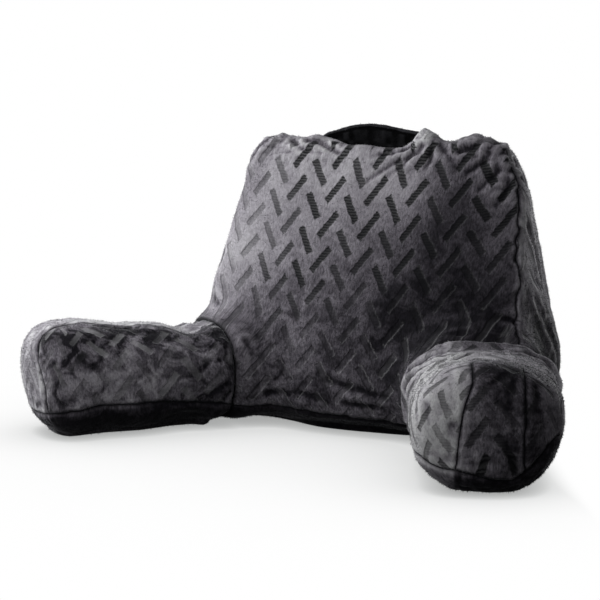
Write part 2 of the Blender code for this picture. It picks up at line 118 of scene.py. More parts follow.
# ---- Folds: points along the fold, width, depth, height of the ridges beside it ---------------
BACKREST_FOLDS = (
    (((0.150, 0.058, 0.442), (0.164, 0.060, 0.447), (0.178, 0.068, 0.452)),
     0.0045, 0.0050, 0.0015),
    (((0.209, 0.100, 0.442), (0.216, 0.054, 0.410), (0.195, 0.040, 0.386)),
     0.0050, 0.0035, 0.0014),
    (((0.222, 0.104, 0.428), (0.236, 0.053, 0.389), (0.224, 0.038, 0.362)),
     0.0045, 0.0032, 0.0012),
    (((0.203, 0.080, 0.452), (0.193, 0.055, 0.428), (0.168, 0.044, 0.409)),
     0.0050, 0.0030, 0.0014),
    (((0.230, 0.116, 0.400), (0.246, 0.060, 0.362)), 0.0045, 0.0028, 0.0010),
    (((0.092, 0.070, 0.452), (0.072, 0.058, 0.436), (0.044, 0.053, 0.424), (0.000, 0.035, 0.395)),
     0.0045, 0.0026, 0.0012),
    (((0.098, 0.068, 0.450), (0.100, 0.052, 0.426), (0.092, 0.044, 0.400)),
     0.0045, 0.0022, 0.0012),
    (((0.068, 0.068, 0.448), (0.030, 0.060, 0.436), (-0.004, 0.056, 0.430)),
     0.0038, 0.0024, 0.0010),
    (((0.066, 0.062, 0.440), (0.056, 0.050, 0.420), (0.030, 0.040, 0.402)),
     0.0040, 0.0020, 0.0010),
    (((0.104, 0.070, 0.455), (0.128, 0.058, 0.436), (0.150, 0.048, 0.415)),
     0.0050, 0.0020, 0.0010),
    (((-0.134, 0.066, 0.452), (-0.104, 0.066, 0.448), (-0.067, 0.056, 0.434)),
     0.0045, 0.0036, 0.0014),
    (((-0.165, 0.069, 0.452), (-0.146, 0.060, 0.444), (-0.127, 0.054, 0.437)),
     0.0045, 0.0026, 0.0012),
    (((-0.202, 0.072, 0.456), (-0.227, 0.060, 0.440), (-0.241, 0.056, 0.417)),
     0.0050, 0.0024, 0.0012),
    (((-0.180, 0.092, 0.462), (-0.215, 0.086, 0.456)), 0.0065, 0.0045, 0.0016),
    (((-0.262, -0.030, 0.150), (-0.205, -0.072, 0.100), (-0.166, -0.084, 0.062)),
     0.0050, 0.0030, 0.0014),
    (((-0.232, -0.052, 0.158), (-0.170, -0.088, 0.132), (-0.128, -0.076, 0.090)),
     0.0055, 0.0024, 0.0012),
    (((-0.270, -0.010, 0.195), (-0.200, -0.040, 0.160), (-0.150, -0.062, 0.110)),
     0.0060, 0.0020, 0.0012),
    (((-0.150, -0.086, 0.140), (-0.136, -0.084, 0.090), (-0.140, -0.075, 0.052)),
     0.0050, 0.0022, 0.0010),
    (((-0.120, -0.070, 0.058), (-0.060, -0.068, 0.064), (-0.004, -0.069, 0.055)),
     0.0055, 0.0020, 0.0010),
    (((-0.006, -0.066, 0.089), (0.050, -0.068, 0.078), (0.110, -0.067, 0.066)),
     0.0060, 0.0018, 0.0010),
    (((0.020, -0.066, 0.058), (0.069, -0.066, 0.053), (0.120, -0.070, 0.056)),
     0.0045, 0.0018, 0.0008),
    (((0.300, 0.010, 0.190), (0.262, 0.000, 0.196), (0.214, -0.020, 0.190)),
     0.0050, 0.0035, 0.0014),
    (((0.222, -0.050, 0.182), (0.180, -0.052, 0.160), (0.152, -0.070, 0.120)),
     0.0050, 0.0026, 0.0012),
    (((0.300, 0.035, 0.150), (0.318, 0.010, 0.120), (0.322, 0.000, 0.080)),
     0.0060, 0.0030, 0.0012),
    (((0.282, 0.080, 0.220), (0.276, 0.120, 0.170), (0.272, 0.150, 0.110)),
     0.0080, 0.0028, 0.0014),
    (((0.262, 0.075, 0.330), (0.258, 0.110, 0.290), (0.262, 0.128, 0.240)),
     0.0070, 0.0024, 0.0012),
    (((-0.280, 0.060, 0.230), (-0.270, 0.110, 0.180), (-0.266, 0.140, 0.120)),
     0.0080, 0.0026, 0.0012),
)
ARM_FOLDS = {
    -1: (
        (((0.010, 0.030, 0.170), (0.021, 0.081, 0.151), (0.013, 0.103, 0.117),
          (0.004, 0.106, 0.080)),
         0.0040, 0.0030, 0.0008),
        (((0.052, 0.035, 0.160), (0.036, 0.066, 0.157), (0.017, 0.082, 0.150)),
         0.0045, 0.0020, 0.0006),
        (((0.020, 0.092, 0.134), (0.055, 0.090, 0.140), (0.081, 0.089, 0.133)),
         0.0050, 0.0018, 0.0006),
        (((0.012, 0.106, 0.118), (0.045, 0.102, 0.112), (0.078, 0.100, 0.091)),
         0.0050, 0.0020, 0.0006),
        (((0.010, 0.108, 0.085), (0.029, 0.110, 0.073), (0.065, 0.095, 0.047)),
         0.0050, 0.0022, 0.0008),
        (((0.010, 0.105, 0.062), (0.028, 0.100, 0.045)), 0.0040, 0.0024, 0.0012),
        (((0.197, 0.069, 0.158), (0.175, 0.080, 0.152), (0.153, 0.060, 0.158)),
         0.0050, 0.0016, 0.0010),
        (((0.231, 0.040, 0.168), (0.231, 0.074, 0.158), (0.215, 0.090, 0.138)),
         0.0055, 0.0020, 0.0010),
        (((0.120, 0.104, 0.120), (0.160, 0.104, 0.096), (0.190, 0.102, 0.066)),
         0.0070, 0.0016, 0.0010),
        (((0.285, 0.084, 0.108), (0.287, 0.082, 0.071), (0.270, 0.090, 0.054)),
         0.0060, 0.0018, 0.0008),
    ),
    1: (
        (((0.039, 0.103, 0.104), (0.050, 0.096, 0.121), (0.075, 0.080, 0.142),
          (0.090, 0.056, 0.156), (0.084, 0.003, 0.165), (0.050, -0.060, 0.161),
          (0.034, -0.088, 0.142), (0.030, -0.102, 0.100)),
         0.0050, 0.0036, 0.0024),
        (((0.028, 0.100, 0.108), (0.031, 0.096, 0.130), (0.046, 0.066, 0.153),
          (0.052, 0.030, 0.162)),
         0.0040, 0.0026, 0.0016),
        (((0.103, 0.021, 0.163), (0.133, 0.052, 0.156), (0.190, 0.080, 0.148)),
         0.0045, 0.0024, 0.0014),
        (((0.094, 0.037, 0.160), (0.131, 0.069, 0.149), (0.136, 0.085, 0.134)),
         0.0045, 0.0024, 0.0014),
        (((0.150, 0.040, 0.160), (0.215, 0.068, 0.160), (0.262, 0.076, 0.148)),
         0.0050, 0.0020, 0.0012),
        (((0.185, 0.086, 0.138), (0.240, 0.096, 0.130), (0.268, 0.096, 0.110),
          (0.278, 0.092, 0.085)),
         0.0050, 0.0024, 0.0014),
        (((0.282, 0.082, 0.124), (0.287, 0.080, 0.098)), 0.0045, 0.0016, 0.0008),
        (((0.296, 0.047, 0.098), (0.296, 0.044, 0.080)), 0.0075, 0.0050, 0.0010),
        (((0.282, -0.020, 0.165), (0.292, 0.000, 0.152), (0.293, 0.020, 0.150)),
         0.0045, 0.0022, 0.0010),
        (((0.286, -0.060, 0.150), (0.294, -0.064, 0.120), (0.290, -0.070, 0.090)),
         0.0055, 0.0020, 0.0010),
        (((0.020, -0.100, 0.120), (0.060, -0.104, 0.110), (0.110, -0.102, 0.090)),
         0.0060, 0.0022, 0.0012),
    ),
}
# Raised cords of cloth.
BACKREST_RIDGES = (
    (((0.073, 0.074, 0.463), (0.066, 0.063, 0.452), (0.058, 0.060, 0.437)), 0.0032, -0.0030, 0.0),
    (((0.100, 0.066, 0.462), (0.104, 0.060, 0.448)), 0.0036, -0.0020, 0.0),
    (((-0.098, 0.074, 0.458), (-0.088, 0.064, 0.447), (-0.066, 0.060, 0.438)),
     0.0045, -0.0030, 0.0),
    (((-0.178, 0.090, 0.462), (-0.196, 0.072, 0.455), (-0.225, 0.062, 0.440)),
     0.0050, -0.0024, 0.0),
)
# Fuller places: X, Y, Z, radius, height.
BACKREST_PUFFS = (
    (0.085, 0.068, 0.463, 0.014, 0.005),
    (0.100, 0.070, 0.455, 0.010, 0.003),
    (0.172, 0.075, 0.461, 0.022, 0.004),
    (0.212, 0.080, 0.448, 0.018, 0.004),
    (0.276, 0.120, 0.125, 0.050, 0.012),
    (0.310, 0.020, 0.140, 0.040, 0.006),
    (-0.274, -0.022, 0.176, 0.034, -0.009),
    (-0.020, 0.066, 0.447, 0.035, 0.003),
    (-0.175, -0.065, 0.015, 0.030, 0.002),
    (-0.258, 0.010, 0.250, 0.080, 0.006),
    (0.262, 0.100, 0.360, 0.050, 0.004),
)
ARM_PUFFS = {
    -1: (
        (0.038, 0.020, 0.167, 0.034, -0.017),
        (0.020, -0.050, 0.155, 0.045, -0.010),
        (0.020, -0.014, 0.158, 0.028, -0.011),
        (0.110, 0.000, 0.165, 0.060, 0.004),
        (0.190, -0.010, 0.168, 0.050, 0.003),
        (0.270, -0.070, 0.020, 0.050, -0.004),
        (0.200, 0.100, 0.010, 0.040, -0.006),
        (0.100, 0.100, 0.010, 0.050, -0.007),
        (0.008, 0.090, 0.020, 0.022, 0.006),
        (0.060, 0.080, 0.010, 0.040, -0.006),
    ),
    1: (
        (0.265, -0.095, 0.030, 0.040, -0.010),
        (0.060, -0.100, 0.115, 0.060, 0.008),
        (0.190, -0.098, 0.130, 0.050, 0.006),
        (0.045, -0.108, 0.115, 0.035, 0.009),
        (0.240, -0.092, 0.132, 0.035, 0.004),
        (0.265, 0.095, 0.020, 0.035, -0.004),
        (0.250, 0.080, 0.170, 0.030, -0.003),
        (0.250, -0.080, 0.165, 0.030, -0.004),
    ),
}
# Crumpled places: X, Y, Z, radius, height, span of the crumples.
BACKREST_CRUMPLES = (
    (0.198, 0.075, 0.452, 0.040, 0.0085, 0.021),
    (0.232, 0.075, 0.415, 0.036, 0.0060, 0.017),
    (0.085, 0.068, 0.460, 0.022, 0.0045, 0.011),
    (0.040, 0.064, 0.444, 0.040, 0.0035, 0.013),
    (-0.120, 0.068, 0.450, 0.045, 0.0030, 0.016),
    (-0.205, 0.080, 0.452, 0.035, 0.0026, 0.015),
    (-0.230, 0.080, 0.452, 0.035, 0.0040, 0.011),
    (-0.160, 0.070, 0.452, 0.040, 0.0034, 0.010),
    (-0.080, 0.066, 0.448, 0.040, 0.0030, 0.010),
    (0.145, 0.066, 0.452, 0.035, 0.0036, 0.011),
    (0.060, -0.068, 0.036, 0.060, 0.0028, 0.010),
    (0.140, -0.068, 0.032, 0.050, 0.0030, 0.010),
    (-0.060, -0.068, 0.042, 0.060, 0.0020, 0.010),
    (0.262, 0.110, 0.230, 0.070, 0.0030, 0.022),
    (-0.180, -0.080, 0.100, 0.050, 0.0018, 0.018),
)
ARM_CRUMPLES = {
    -1: (
        (0.012, 0.085, 0.130, 0.040, 0.0012, 0.012),
        (0.020, 0.100, 0.060, 0.045, 0.0010, 0.014),
        (0.160, 0.090, 0.110, 0.110, 0.0012, 0.020),
        (0.280, 0.080, 0.150, 0.040, 0.0018, 0.016),
        (0.290, 0.000, 0.030, 0.060, 0.0030, 0.014),
    ),
    1: (
        (0.050, 0.070, 0.140, 0.050, 0.0030, 0.015),
        (0.050, -0.080, 0.140, 0.060, 0.0030, 0.017),
        (0.290, -0.060, 0.110, 0.050, 0.0022, 0.018),
        (0.275, 0.000, 0.025, 0.080, 0.0030, 0.015),
    ),
}

# Where painted light and shade, along with the nap's own brushed-up and stroked-down patches, make
# the nap look lighter or darker: X, Y, Z, radius, how much lighter (above 0) or darker (below 0).
BACKREST_NAP_AND_PAINTED_LIGHT = (
    (0.085, 0.068, 0.463, 0.022, 0.90),
    (-0.205, 0.040, 0.370, 0.150, 0.34),
    (-0.090, 0.040, 0.390, 0.110, 0.32),
    (0.050, 0.050, 0.400, 0.080, 0.34),
    (-0.250, 0.010, 0.230, 0.090, 0.42),
    (0.200, 0.000, 0.220, 0.150, -0.40),
    (0.130, -0.050, 0.100, 0.130, -0.18),
    (-0.110, -0.060, 0.080, 0.090, -0.06),
    (0.250, 0.120, 0.370, 0.070, 0.40),
    (0.262, 0.120, 0.270, 0.070, 0.22),
    (0.272, 0.110, 0.150, 0.060, -0.64),
    (-0.100, 0.066, 0.430, 0.070, 0.16),
    (0.170, 0.050, 0.390, 0.060, -0.10),
)
ARM_NAP_AND_PAINTED_LIGHT = {
    -1: (
        (0.270, 0.080, 0.150, 0.050, -0.34),
        (0.200, 0.080, 0.155, 0.040, -0.24),
        (0.120, 0.080, 0.150, 0.045, -0.24),
        (0.060, 0.080, 0.150, 0.030, -0.14),
        (0.150, 0.100, 0.080, 0.080, 0.20),
        (0.120, 0.100, 0.040, 0.036, -0.22),
        (0.035, 0.100, 0.090, 0.050, -0.18),
        (0.300, -0.045, 0.100, 0.030, 0.45),
        (0.305, 0.010, 0.100, 0.040, -0.34),
        (0.010, 0.070, 0.155, 0.022, -0.60),
        (0.012, 0.100, 0.110, 0.025, -0.30),
        (0.130, -0.020, 0.172, 0.060, 0.50),
    ),
    1: (
        (0.180, 0.100, 0.110, 0.110, 0.66),
        (0.250, 0.080, 0.060, 0.070, 0.55),
        (0.300, 0.055, 0.140, 0.050, 0.20),
        (0.270, -0.005, 0.165, 0.050, -0.30),
        (0.290, -0.085, 0.090, 0.066, -0.40),
        (0.120, 0.000, 0.170, 0.070, 0.56),
        (0.040, 0.050, 0.160, 0.060, -0.16),
    ),
}
# How much lighter the nap looks on an arm's lap side, on its strip and on its outer side: partly
# the way each panel's nap lies, partly painted light, most on the left arm's strip.
PANEL_NAP_AND_PAINTED_LIGHT = {-1: (0.10, 0.56, 0.26), 1: (0.42, -0.06, 0.02)}
# Where the nap is crushed into patches: X, Y, Z, radius, how much more.
BACKREST_CRUSH = (
    (-0.130, -0.060, 0.110, 0.130, 0.22),
    (0.090, -0.050, 0.110, 0.130, 0.06),
    (-0.030, 0.020, 0.250, 0.100, 0.08),
)

# ---- Habits of the cloth --------------------------------------------------------------------
# Unevenness in layers: height, span, seed.
BACKREST_LUMPS = ((0.0016, 0.060, 1), (0.0008, 0.028, 2))
BACKREST_SWAY = ((0.0110, 0.036, 51), (0.0050, 0.014, 52))
BASE_SWAY_SHARE = 0.2
ARM_LUMPS = {side: ((0.0014, 0.050, 5 + side), (0.0007, 0.024, 6 + side)) for side in (-1, 1)}
ARM_SWAY = ((0.0026, 0.034, 53), (0.0010, 0.012, 54))
ARM_BASE_SWAY_SHARE = 0.6
GUSSET_PATCHES = ((0.20, 0.045, 61), (0.10, 0.018, 62))
# Passes that take the facets out of each skin.
BACKREST_PASSES = 26
ARM_PASSES = 30
STRAP_PASSES = 10
# The backrest's folds are this much stronger than their table says.
BACKREST_FOLD_SHARE = 1.6
# How much of a fold is gone at its far end, how late it fades, and its ridges, in fold widths.
FOLD_FADE = 0.65
FOLD_FADE_POWER = 1.5
RIDGE_PLACE = 2.2
RIDGE_WIDTH = 1.2
# Crumples: the share of the finer crease, and the level that is neither raised nor sunk.
FINE_CREASE = 0.5
CREASE_LEVEL = 0.45
# A seam: the cloth's swell beside the thread, the thread's groove and the gathers along it.
SWELL_HEIGHT = 0.0006
SWELL_PLACE = 0.0075
SWELL_WIDTH = 0.0045
THREAD_WIDTH = 0.0030
GATHER_HEIGHT = 0.0008
GATHER_WIDTH = 0.012
GATHER_START = 0.004
GATHERS = ((1.0, 0.015, 3), (0.6, 0.008, 4))
# How far above or beside a joint, the floor or the base seam something starts and is whole.
AT_JOINT = (0.0005, 0.006)
PRESSED_AT_JOINT = (0.004, 0.012)
AT_FLOOR = (0.000, 0.006)
PRESSED_AT_BASE = (0.0, 0.003)
SEAMS_AT_BASE = (-0.004, 0.006)
CRUSH_AT_BASE = (-0.004, 0.008)
BACKREST_SEAMS_AT_JOINT = (0.010, 0.030)
ARM_SEAMS_AT_JOINT = (0.004, 0.024)
# How far from an arm's axis the backrest's cover is sewn to the arm, and stays clear of it.
ROOT_REACH = 0.135
CLEAR_REACH = 0.14
# The backrest's cover ends this far before the joint's plane.
BACKREST_CLEAR = 0.0001
# The base tucks in under the middle of the front: depth, height, rise, width.
FRONT_TUCK = 0.009
TUCK_HEIGHT = 0.010
TUCK_RISE = 0.016
TUCK_WIDTH = 0.13
# The left arm's base tucks in all along.
ARM_TUCK = 0.0036
ARM_TUCK_RISE = 0.020
# The front and back seams get lost in the worn top edge between these heights.
WORN_TOP = (0.405, 0.435)
# So do the right arm's strip seams, this near to the joint and above this height.
WORN_STRIP = (0.235, 0.10)
# The front seam is drawn in twice as deep from the first to the second X.
DEEPER_RIGHT = (0.10, 0.20)
# How soft the edge of a pressed dash is.
PRESS_SOFTNESS = 0.0012
# Relief painted into the nap as light and shade: passes of its ground, height of a whole step, and
# the tones: worn nap with a painted highlight on ridges, painted shade in hollows.
RELIEF_PASSES = 14
RELIEF_STEP = 0.0014
RIDGE_WEAR_AND_HIGHLIGHT = 0.26
HOLLOW_PAINTED_SHADE = 0.42
# The nap's level, its clouds (share, span), and the painted shade on a base.
NAP_LEVEL = 0.36
NAP_CLOUDS = ((0.10, 0.085), (0.07, 0.034))
BASE_PAINTED_SHADE = 0.80
PAINTED_SHADE_AT_BASE = (-0.004, 0.012)
# The relief's painted highlight and shade count this much where the nap is stroked down, and more
# where it isn't.
RELIEF_IN_DARK = 0.4
# On the backrest, painted light makes the nap lighter where it faces right, over these heights,
# and painted shade makes the gusset darker where it faces left. Facing is the normal's share that
# way.
RIGHT_PAINTED_LIGHT = 0.42
FACING_RIGHT = (0.45, 0.95)
RIGHT_HEIGHT = (0.10, 0.26)
LEFT_PAINTED_SHADE = 0.30
FACING_LEFT = (0.60, 0.95)
# On the arms: the strip's edge, painted light on the right arm's front end where it faces that
# way, and painted shade on the left arm's upper panels.
STRIP_EDGE = (-0.001, 0.003)
END_PAINTED_LIGHT = 0.4
FACING_END = (0.70, 1.0)
UPPER_PAINTED_SHADE = 0.30
UPPER_HEIGHT = (0.140, 0.158)
# Crushed nap: how much, also more on the gusset's sides, and what is left of it elsewhere.
BACKREST_CRUSHED = 0.14
GUSSET_CRUSHED = {-1: 0.06, 1: 0.26}
CRUSHED_ON_BASE = 0.3
ARM_CRUSHED = {-1: 0.74, 1: 0.38}
ARM_CRUSH_CLOUDS = ((0.10, 0.06, 33),)
CRUSHED_OFF_TOP = 0.75
ARM_TOP_HEIGHT = (0.115, 0.150)
ARM_TOP_END = (0.22, 0.26)
CRUSHED_OFF_OUTER = 0.70
# How strongly the dashes show: on the backrest least low on the right and at the far left. The
# fade low on the right is painted shade on the pattern, and weakly shown dashes get painted
# highlights and shadows on their rims.
SHOW_LEAST = 0.25
SHOW_MORE = 0.95
SHOW_SLOPE = 0.25
SHOW_HEIGHT = (0.08, 0.30)
SHOW_AT_LEFT = 0.30
SHOW_FROM_LEFT = (-0.26, -0.08)
GUSSET_SHOW = 0.4
BACKREST_SHOW_LEVEL = 0.88
BACKREST_SHOW_CLOUDS = ((0.12, 0.05, 31),)
ARM_SHOW = {-1: 0.24, 1: 0.76}
ARM_SHOW_CLOUDS = ((0.34, 0.045, 32),)
# They show less on the right arm's side panels and on the left arm's strip.
PANEL_SHOW_LOSS = 0.25
STRIP_SHOW_LOSS = 0.3
# The arms' strip seams are weaker near the joint than at the front end.
STRIP_SEAM_LEAST = 0.35
STRIP_SEAM_RISE = (0.20, 0.27)
# The strap: waves drawn out along it, lumps, and painted highlights as light nap at its hem and at
# both ends.
STRAP_DRAWN = (0.22, 1.0, 1.0)
STRAP_WAVES = ((0.0012, 0.009, 8),)
STRAP_LUMPS = ((0.0004, 0.006, 9),)
STRAP_SAG_WIDTH = 0.055
STRAP_SAG_HEIGHT = (0.004, 0.030)
STRAP_HEM_PAINTED_HIGHLIGHT = 0.34
STRAP_LEFT_PAINTED_HIGHLIGHT = 0.60
STRAP_LEFT_WIDTH = 0.050
STRAP_RIGHT_PAINTED_HIGHLIGHT = 0.34
STRAP_RIGHT_WIDTH = 0.06
STRAP_THREAD_DARK = 0.5


# ---- Settings -------------------------------------------------------------------------------
class PillowCover(bpy.types.PropertyGroup):
    """Sizes and colours of the plush covers"""
    backrest_grid: bpy.props.FloatProperty(
        name="Backrest grid", description="Grid that the backrest's cover is skinned on",
        default=0.0034, min=0.002, max=0.02, precision=4, unit="LENGTH")
    arm_grid: bpy.props.FloatProperty(
        name="Arm grid", description="Grid that an arm's cover is skinned on",
        default=0.0027, min=0.002, max=0.02, precision=4, unit="LENGTH")
    dash_length: bpy.props.FloatProperty(
        name="Dash length", description="Length of one pressed dash",
        default=0.043, min=0.005, max=0.1, precision=4, unit="LENGTH")
    dash_width: bpy.props.FloatProperty(
        name="Dash width", description="Width of one pressed dash",
        default=0.0105, min=0.002, max=0.05, precision=4, unit="LENGTH")
    column_pitch: bpy.props.FloatProperty(
        name="Column pitch", description="Distance between columns of dashes",
        default=0.037, min=0.01, max=0.2, precision=4, unit="LENGTH")
    row_pitch: bpy.props.FloatProperty(
        name="Row pitch", description="Distance between dashes in a column",
        default=0.047, min=0.01, max=0.2, precision=4, unit="LENGTH")
    dash_lean: bpy.props.FloatProperty(
        name="Dash lean", description="Lean of the dashes, turned about from column to column",
        default=math.radians(38.0), min=0.0, max=1.5, subtype="ANGLE", unit="ROTATION")
    press_depth: bpy.props.FloatProperty(
        name="Press depth", description="How deep a dash is pressed into the pile",
        default=0.0006, min=0.0, max=0.005, precision=4, unit="LENGTH")
    seam_depth: bpy.props.FloatProperty(
        name="Seam depth", description="How deep the thread draws a seam in",
        default=0.0018, min=0.0, max=0.01, precision=4, unit="LENGTH")
    pile_light: bpy.props.FloatVectorProperty(
        name="Brushed pile", description="Colour of pile that is brushed up",
        default=(0.345, 0.345, 0.354), size=3, min=0.0, max=1.0, subtype="COLOR")
    pile_dark: bpy.props.FloatVectorProperty(
        name="Stroked pile", description="Colour of pile that is stroked down",
        default=(0.006, 0.006, 0.007), size=3, min=0.0, max=1.0, subtype="COLOR")
    # The ground colour is also what the painted shade beside seams and the painted shadows on the
    # dashes' rims darken to.
    ground_colour: bpy.props.FloatVectorProperty(
        name="Ground colour", description="Colour down in the pile, the dashes and the seams",
        default=(0.003, 0.003, 0.004), size=3, min=0.0, max=1.0, subtype="COLOR")
    shade_tone: bpy.props.FloatVectorProperty(
        name="Shade tone", description="Tint of the nap where it looks dark",
        default=(1.01, 0.920, 1.06), size=3, min=0.0, max=2.0)
    pile_sheen: bpy.props.FloatProperty(
        name="Pile sheen", description="Sheen of the brushed fibre tips",
        default=0.16, min=0.0, max=1.0, subtype="FACTOR")


class PillowPile(bpy.types.PropertyGroup):
    """Sizes of the single fibre tufts that stand out of the pile"""
    backrest_density: bpy.props.FloatProperty(
        name="Backrest tufts", description="Tufts on a square metre of the backrest",
        default=60000.0, min=0.0, max=200000.0)
    arm_density: bpy.props.FloatProperty(
        name="Arm tufts", description="Tufts on a square metre of an arm",
        default=70000.0, min=0.0, max=200000.0)
    length: bpy.props.FloatProperty(
        name="Tuft length", description="Length of a tuft",
        default=0.0026, min=0.0005, max=0.02, precision=4, unit="LENGTH")
    width: bpy.props.FloatProperty(
        name="Tuft width", description="Width of a tuft at its root",
        default=0.00035, min=0.00005, max=0.002, precision=5, unit="LENGTH")
    seed: bpy.props.IntProperty(
        name="Seed", description="Seed of the tufts' places", default=11, min=0)


class PillowStrap(bpy.types.PropertyGroup):
    """Sizes and colours of the carrying strap"""
    grid: bpy.props.FloatProperty(
        name="Strap grid", description="Grid that the strap is skinned on",
        default=0.0012, min=0.0008, max=0.01, precision=4, unit="LENGTH")
    sag: bpy.props.FloatProperty(
        name="Sag", description="How far the strap's lower edge sags at its middle",
        default=0.005, min=0.0, max=0.02, precision=4, unit="LENGTH")
    colour: bpy.props.FloatVectorProperty(
        name="Strap colour", description="Colour of the strap's plush",
        default=(0.0016, 0.0016, 0.0018), size=3, min=0.0, max=1.0, subtype="COLOR")


class PillowStage(bpy.types.PropertyGroup):
    """The plain floor, the soft light and the camera"""
    key_power: bpy.props.FloatProperty(
        name="Key light", description="Power of the soft light close above the left arm",
        default=9.0, min=0.0, max=2000.0, unit="POWER")
    low_power: bpy.props.FloatProperty(
        name="Low light", description="Power of the small low light in front",
        default=2.8, min=0.0, max=2000.0, unit="POWER")
    front_power: bpy.props.FloatProperty(
        name="Front light", description="Power of the small high light in front",
        default=3.9, min=0.0, max=2000.0, unit="POWER")
    rim_power: bpy.props.FloatProperty(
        name="Rim light", description="Power of the small light behind at the left",
        default=16.0, min=0.0, max=2000.0, unit="POWER")
    side_power: bpy.props.FloatProperty(
        name="Side light", description="Power of the light at the left",
        default=33.0, min=0.0, max=2000.0, unit="POWER")
    back_power: bpy.props.FloatProperty(
        name="Back light", description="Power of the light behind",
        default=38.0, min=0.0, max=2000.0, unit="POWER")
    room_light: bpy.props.FloatProperty(
        name="Room light", description="Strength of the even light all round",
        default=0.25, min=0.0, max=5.0)
    lens: bpy.props.FloatProperty(
        name="Lens", description="Focal length in millimetres", default=108.0, min=10.0, max=300.0)


# ---- Mesh helpers ---------------------------------------------------------------------------
def mesh_points(mesh):
    """The mesh's points as an array."""
    points = np.empty(len(mesh.vertices) * 3, dtype=np.float32)
    mesh.vertices.foreach_get("co", points)
    return points.reshape(-1, 3).astype(float)


def set_mesh_points(mesh, points):
    """Write an array back as the mesh's points."""
    mesh.vertices.foreach_set("co", points.astype(np.float32).ravel())
    mesh.update()


def point_normals(mesh):
    """The normal at each point."""
    normals = np.empty(len(mesh.vertices) * 3, dtype=np.float32)
    mesh.vertex_normals.foreach_get("vector", normals)
    return normals.reshape(-1, 3).astype(float)


def mesh_edges(mesh):
    """The two points of each edge."""
    edges = np.empty(len(mesh.edges) * 2, dtype=np.int32)
    mesh.edges.foreach_get("vertices", edges)
    return edges.reshape(-1, 2)


def new_piece(name, data):
    """Link a new object that holds a mesh, a light or a camera."""
    piece = bpy.data.objects.new(name, data)
    bpy.context.scene.collection.objects.link(piece)
    return piece


def made_plain(piece):
    """Replace an object by the mesh that its modifiers give."""
    name = piece.name
    graph = bpy.context.evaluated_depsgraph_get()
    mesh = bpy.data.meshes.new_from_object(piece.evaluated_get(graph))
    bpy.data.objects.remove(piece, do_unlink=True)
    mesh.name = name
    return new_piece(name, mesh)


def skinned_node(node, name, grid):
    """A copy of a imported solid, joined up and skinned on an even grid."""
    shell = bmesh.new()
    shell.from_mesh(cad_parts[node].data)
    bmesh.ops.remove_doubles(shell, verts=shell.verts[:], dist=1e-5)
    mesh = bpy.data.meshes.new(name)
    shell.to_mesh(mesh)
    shell.free()
    piece = new_piece(name, mesh)
    skin = piece.modifiers.new("even grid", "REMESH")
    skin.mode = "VOXEL"
    skin.voxel_size = grid
    return made_plain(piece)


def neighbour_mean(values, edges, count):
    """The mean of each point's neighbours."""
    total = np.empty_like(values)
    for axis in range(values.shape[1]):
        column = values[:, axis]
        total[:, axis] = np.bincount(edges[:, 0], column[edges[:, 1]], len(values))
        total[:, axis] += np.bincount(edges[:, 1], column[edges[:, 0]], len(values))
    return total / count[:, None]


def eased(values, edges, passes, share=0.5):
    """Even out values over the mesh."""
    count = np.maximum(np.bincount(edges.ravel(), minlength=len(values)), 1)
    for _ in range(passes):
        values = values + share * (neighbour_mean(values, edges, count) - values)
    return values


def soften_facets(piece, passes):
    """Take the solid's facets out of a skin and keep its size."""
    edges = mesh_edges(piece.data)
    points = mesh_points(piece.data)
    soft = eased(points, edges, passes)
    soft += eased(points - soft, edges, passes)
    set_mesh_points(piece.data, soft)


def bell(distance, width):
    """A smooth bump that is 1 at zero distance."""
    return np.exp(-(distance / width) ** 2)


def ramp(value, start, end):
    """A smooth step from 0 at start to 1 at end."""
    part = np.clip((value - start) / (end - start), 0.0, 1.0)
    return part * part * (3.0 - 2.0 * part)


def partly(least, value, start, end):
    """A smooth step from a least share at start to 1 at end."""
    return least + (1.0 - least) * ramp(value, start, end)


CLOUD_CELLS = 24
CLOUD = np.random.RandomState(5).uniform(-1.0, 1.0, (CLOUD_CELLS,) * 3)


def cloudy(points, span, seed=0):
    """Smooth unevenness from -1 to 1 over the given span."""
    place = points / span + np.array((seed * 3.7, seed * 5.3, seed * 7.9)) + 100.0
    cell = np.floor(place).astype(int)
    part = place - cell
    part = part * part * part * (part * (part * 6.0 - 15.0) + 10.0)
    total = np.zeros(len(points))
    for corner in np.ndindex(2, 2, 2):
        share = np.prod(np.where(corner, part, 1.0 - part), axis=1)
        x, y, z = ((cell + corner) % CLOUD_CELLS).T
        total += share * CLOUD[x, y, z]
    return total


def clouded(points, layers):
    """The sum of layers of unevenness: height, span and seed of each."""
    return sum(height * cloudy(points, span, seed) for height, span, seed in layers)


def near_place(points, x, y, z, radius):
    """1 at a place and 0 far from it."""
    return bell(np.linalg.norm(points - (x, y, z), axis=1), radius)


def fold_push(points, folds):
    """How far a table of folds moves each point along its normal."""
    push = np.zeros(len(points))
    for line, width, depth, ridge in folds:
        line = np.array(line)
        lengths = np.linalg.norm(np.diff(line, axis=0), axis=1)
        starts = np.concatenate(([0.0], np.cumsum(lengths)[:-1])) / lengths.sum()
        nearest = np.full(len(points), 1e9)
        along = np.zeros(len(points))
        for start, end, before, length in zip(line, line[1:], starts, lengths):
            run = end - start
            part = np.clip((points - start) @ run / (run @ run), 0.0, 1.0)
            distance = np.linalg.norm(points - (start + part[:, None] * run), axis=1)
            closer = distance < nearest
            nearest = np.where(closer, distance, nearest)
            along = np.where(closer, before + part * length / lengths.sum(), along)
        strength = 1.0 - FOLD_FADE * along ** FOLD_FADE_POWER
        push += strength * (ridge * bell(nearest - RIDGE_PLACE * width, RIDGE_WIDTH * width)
                            - depth * bell(nearest, width))
    return push


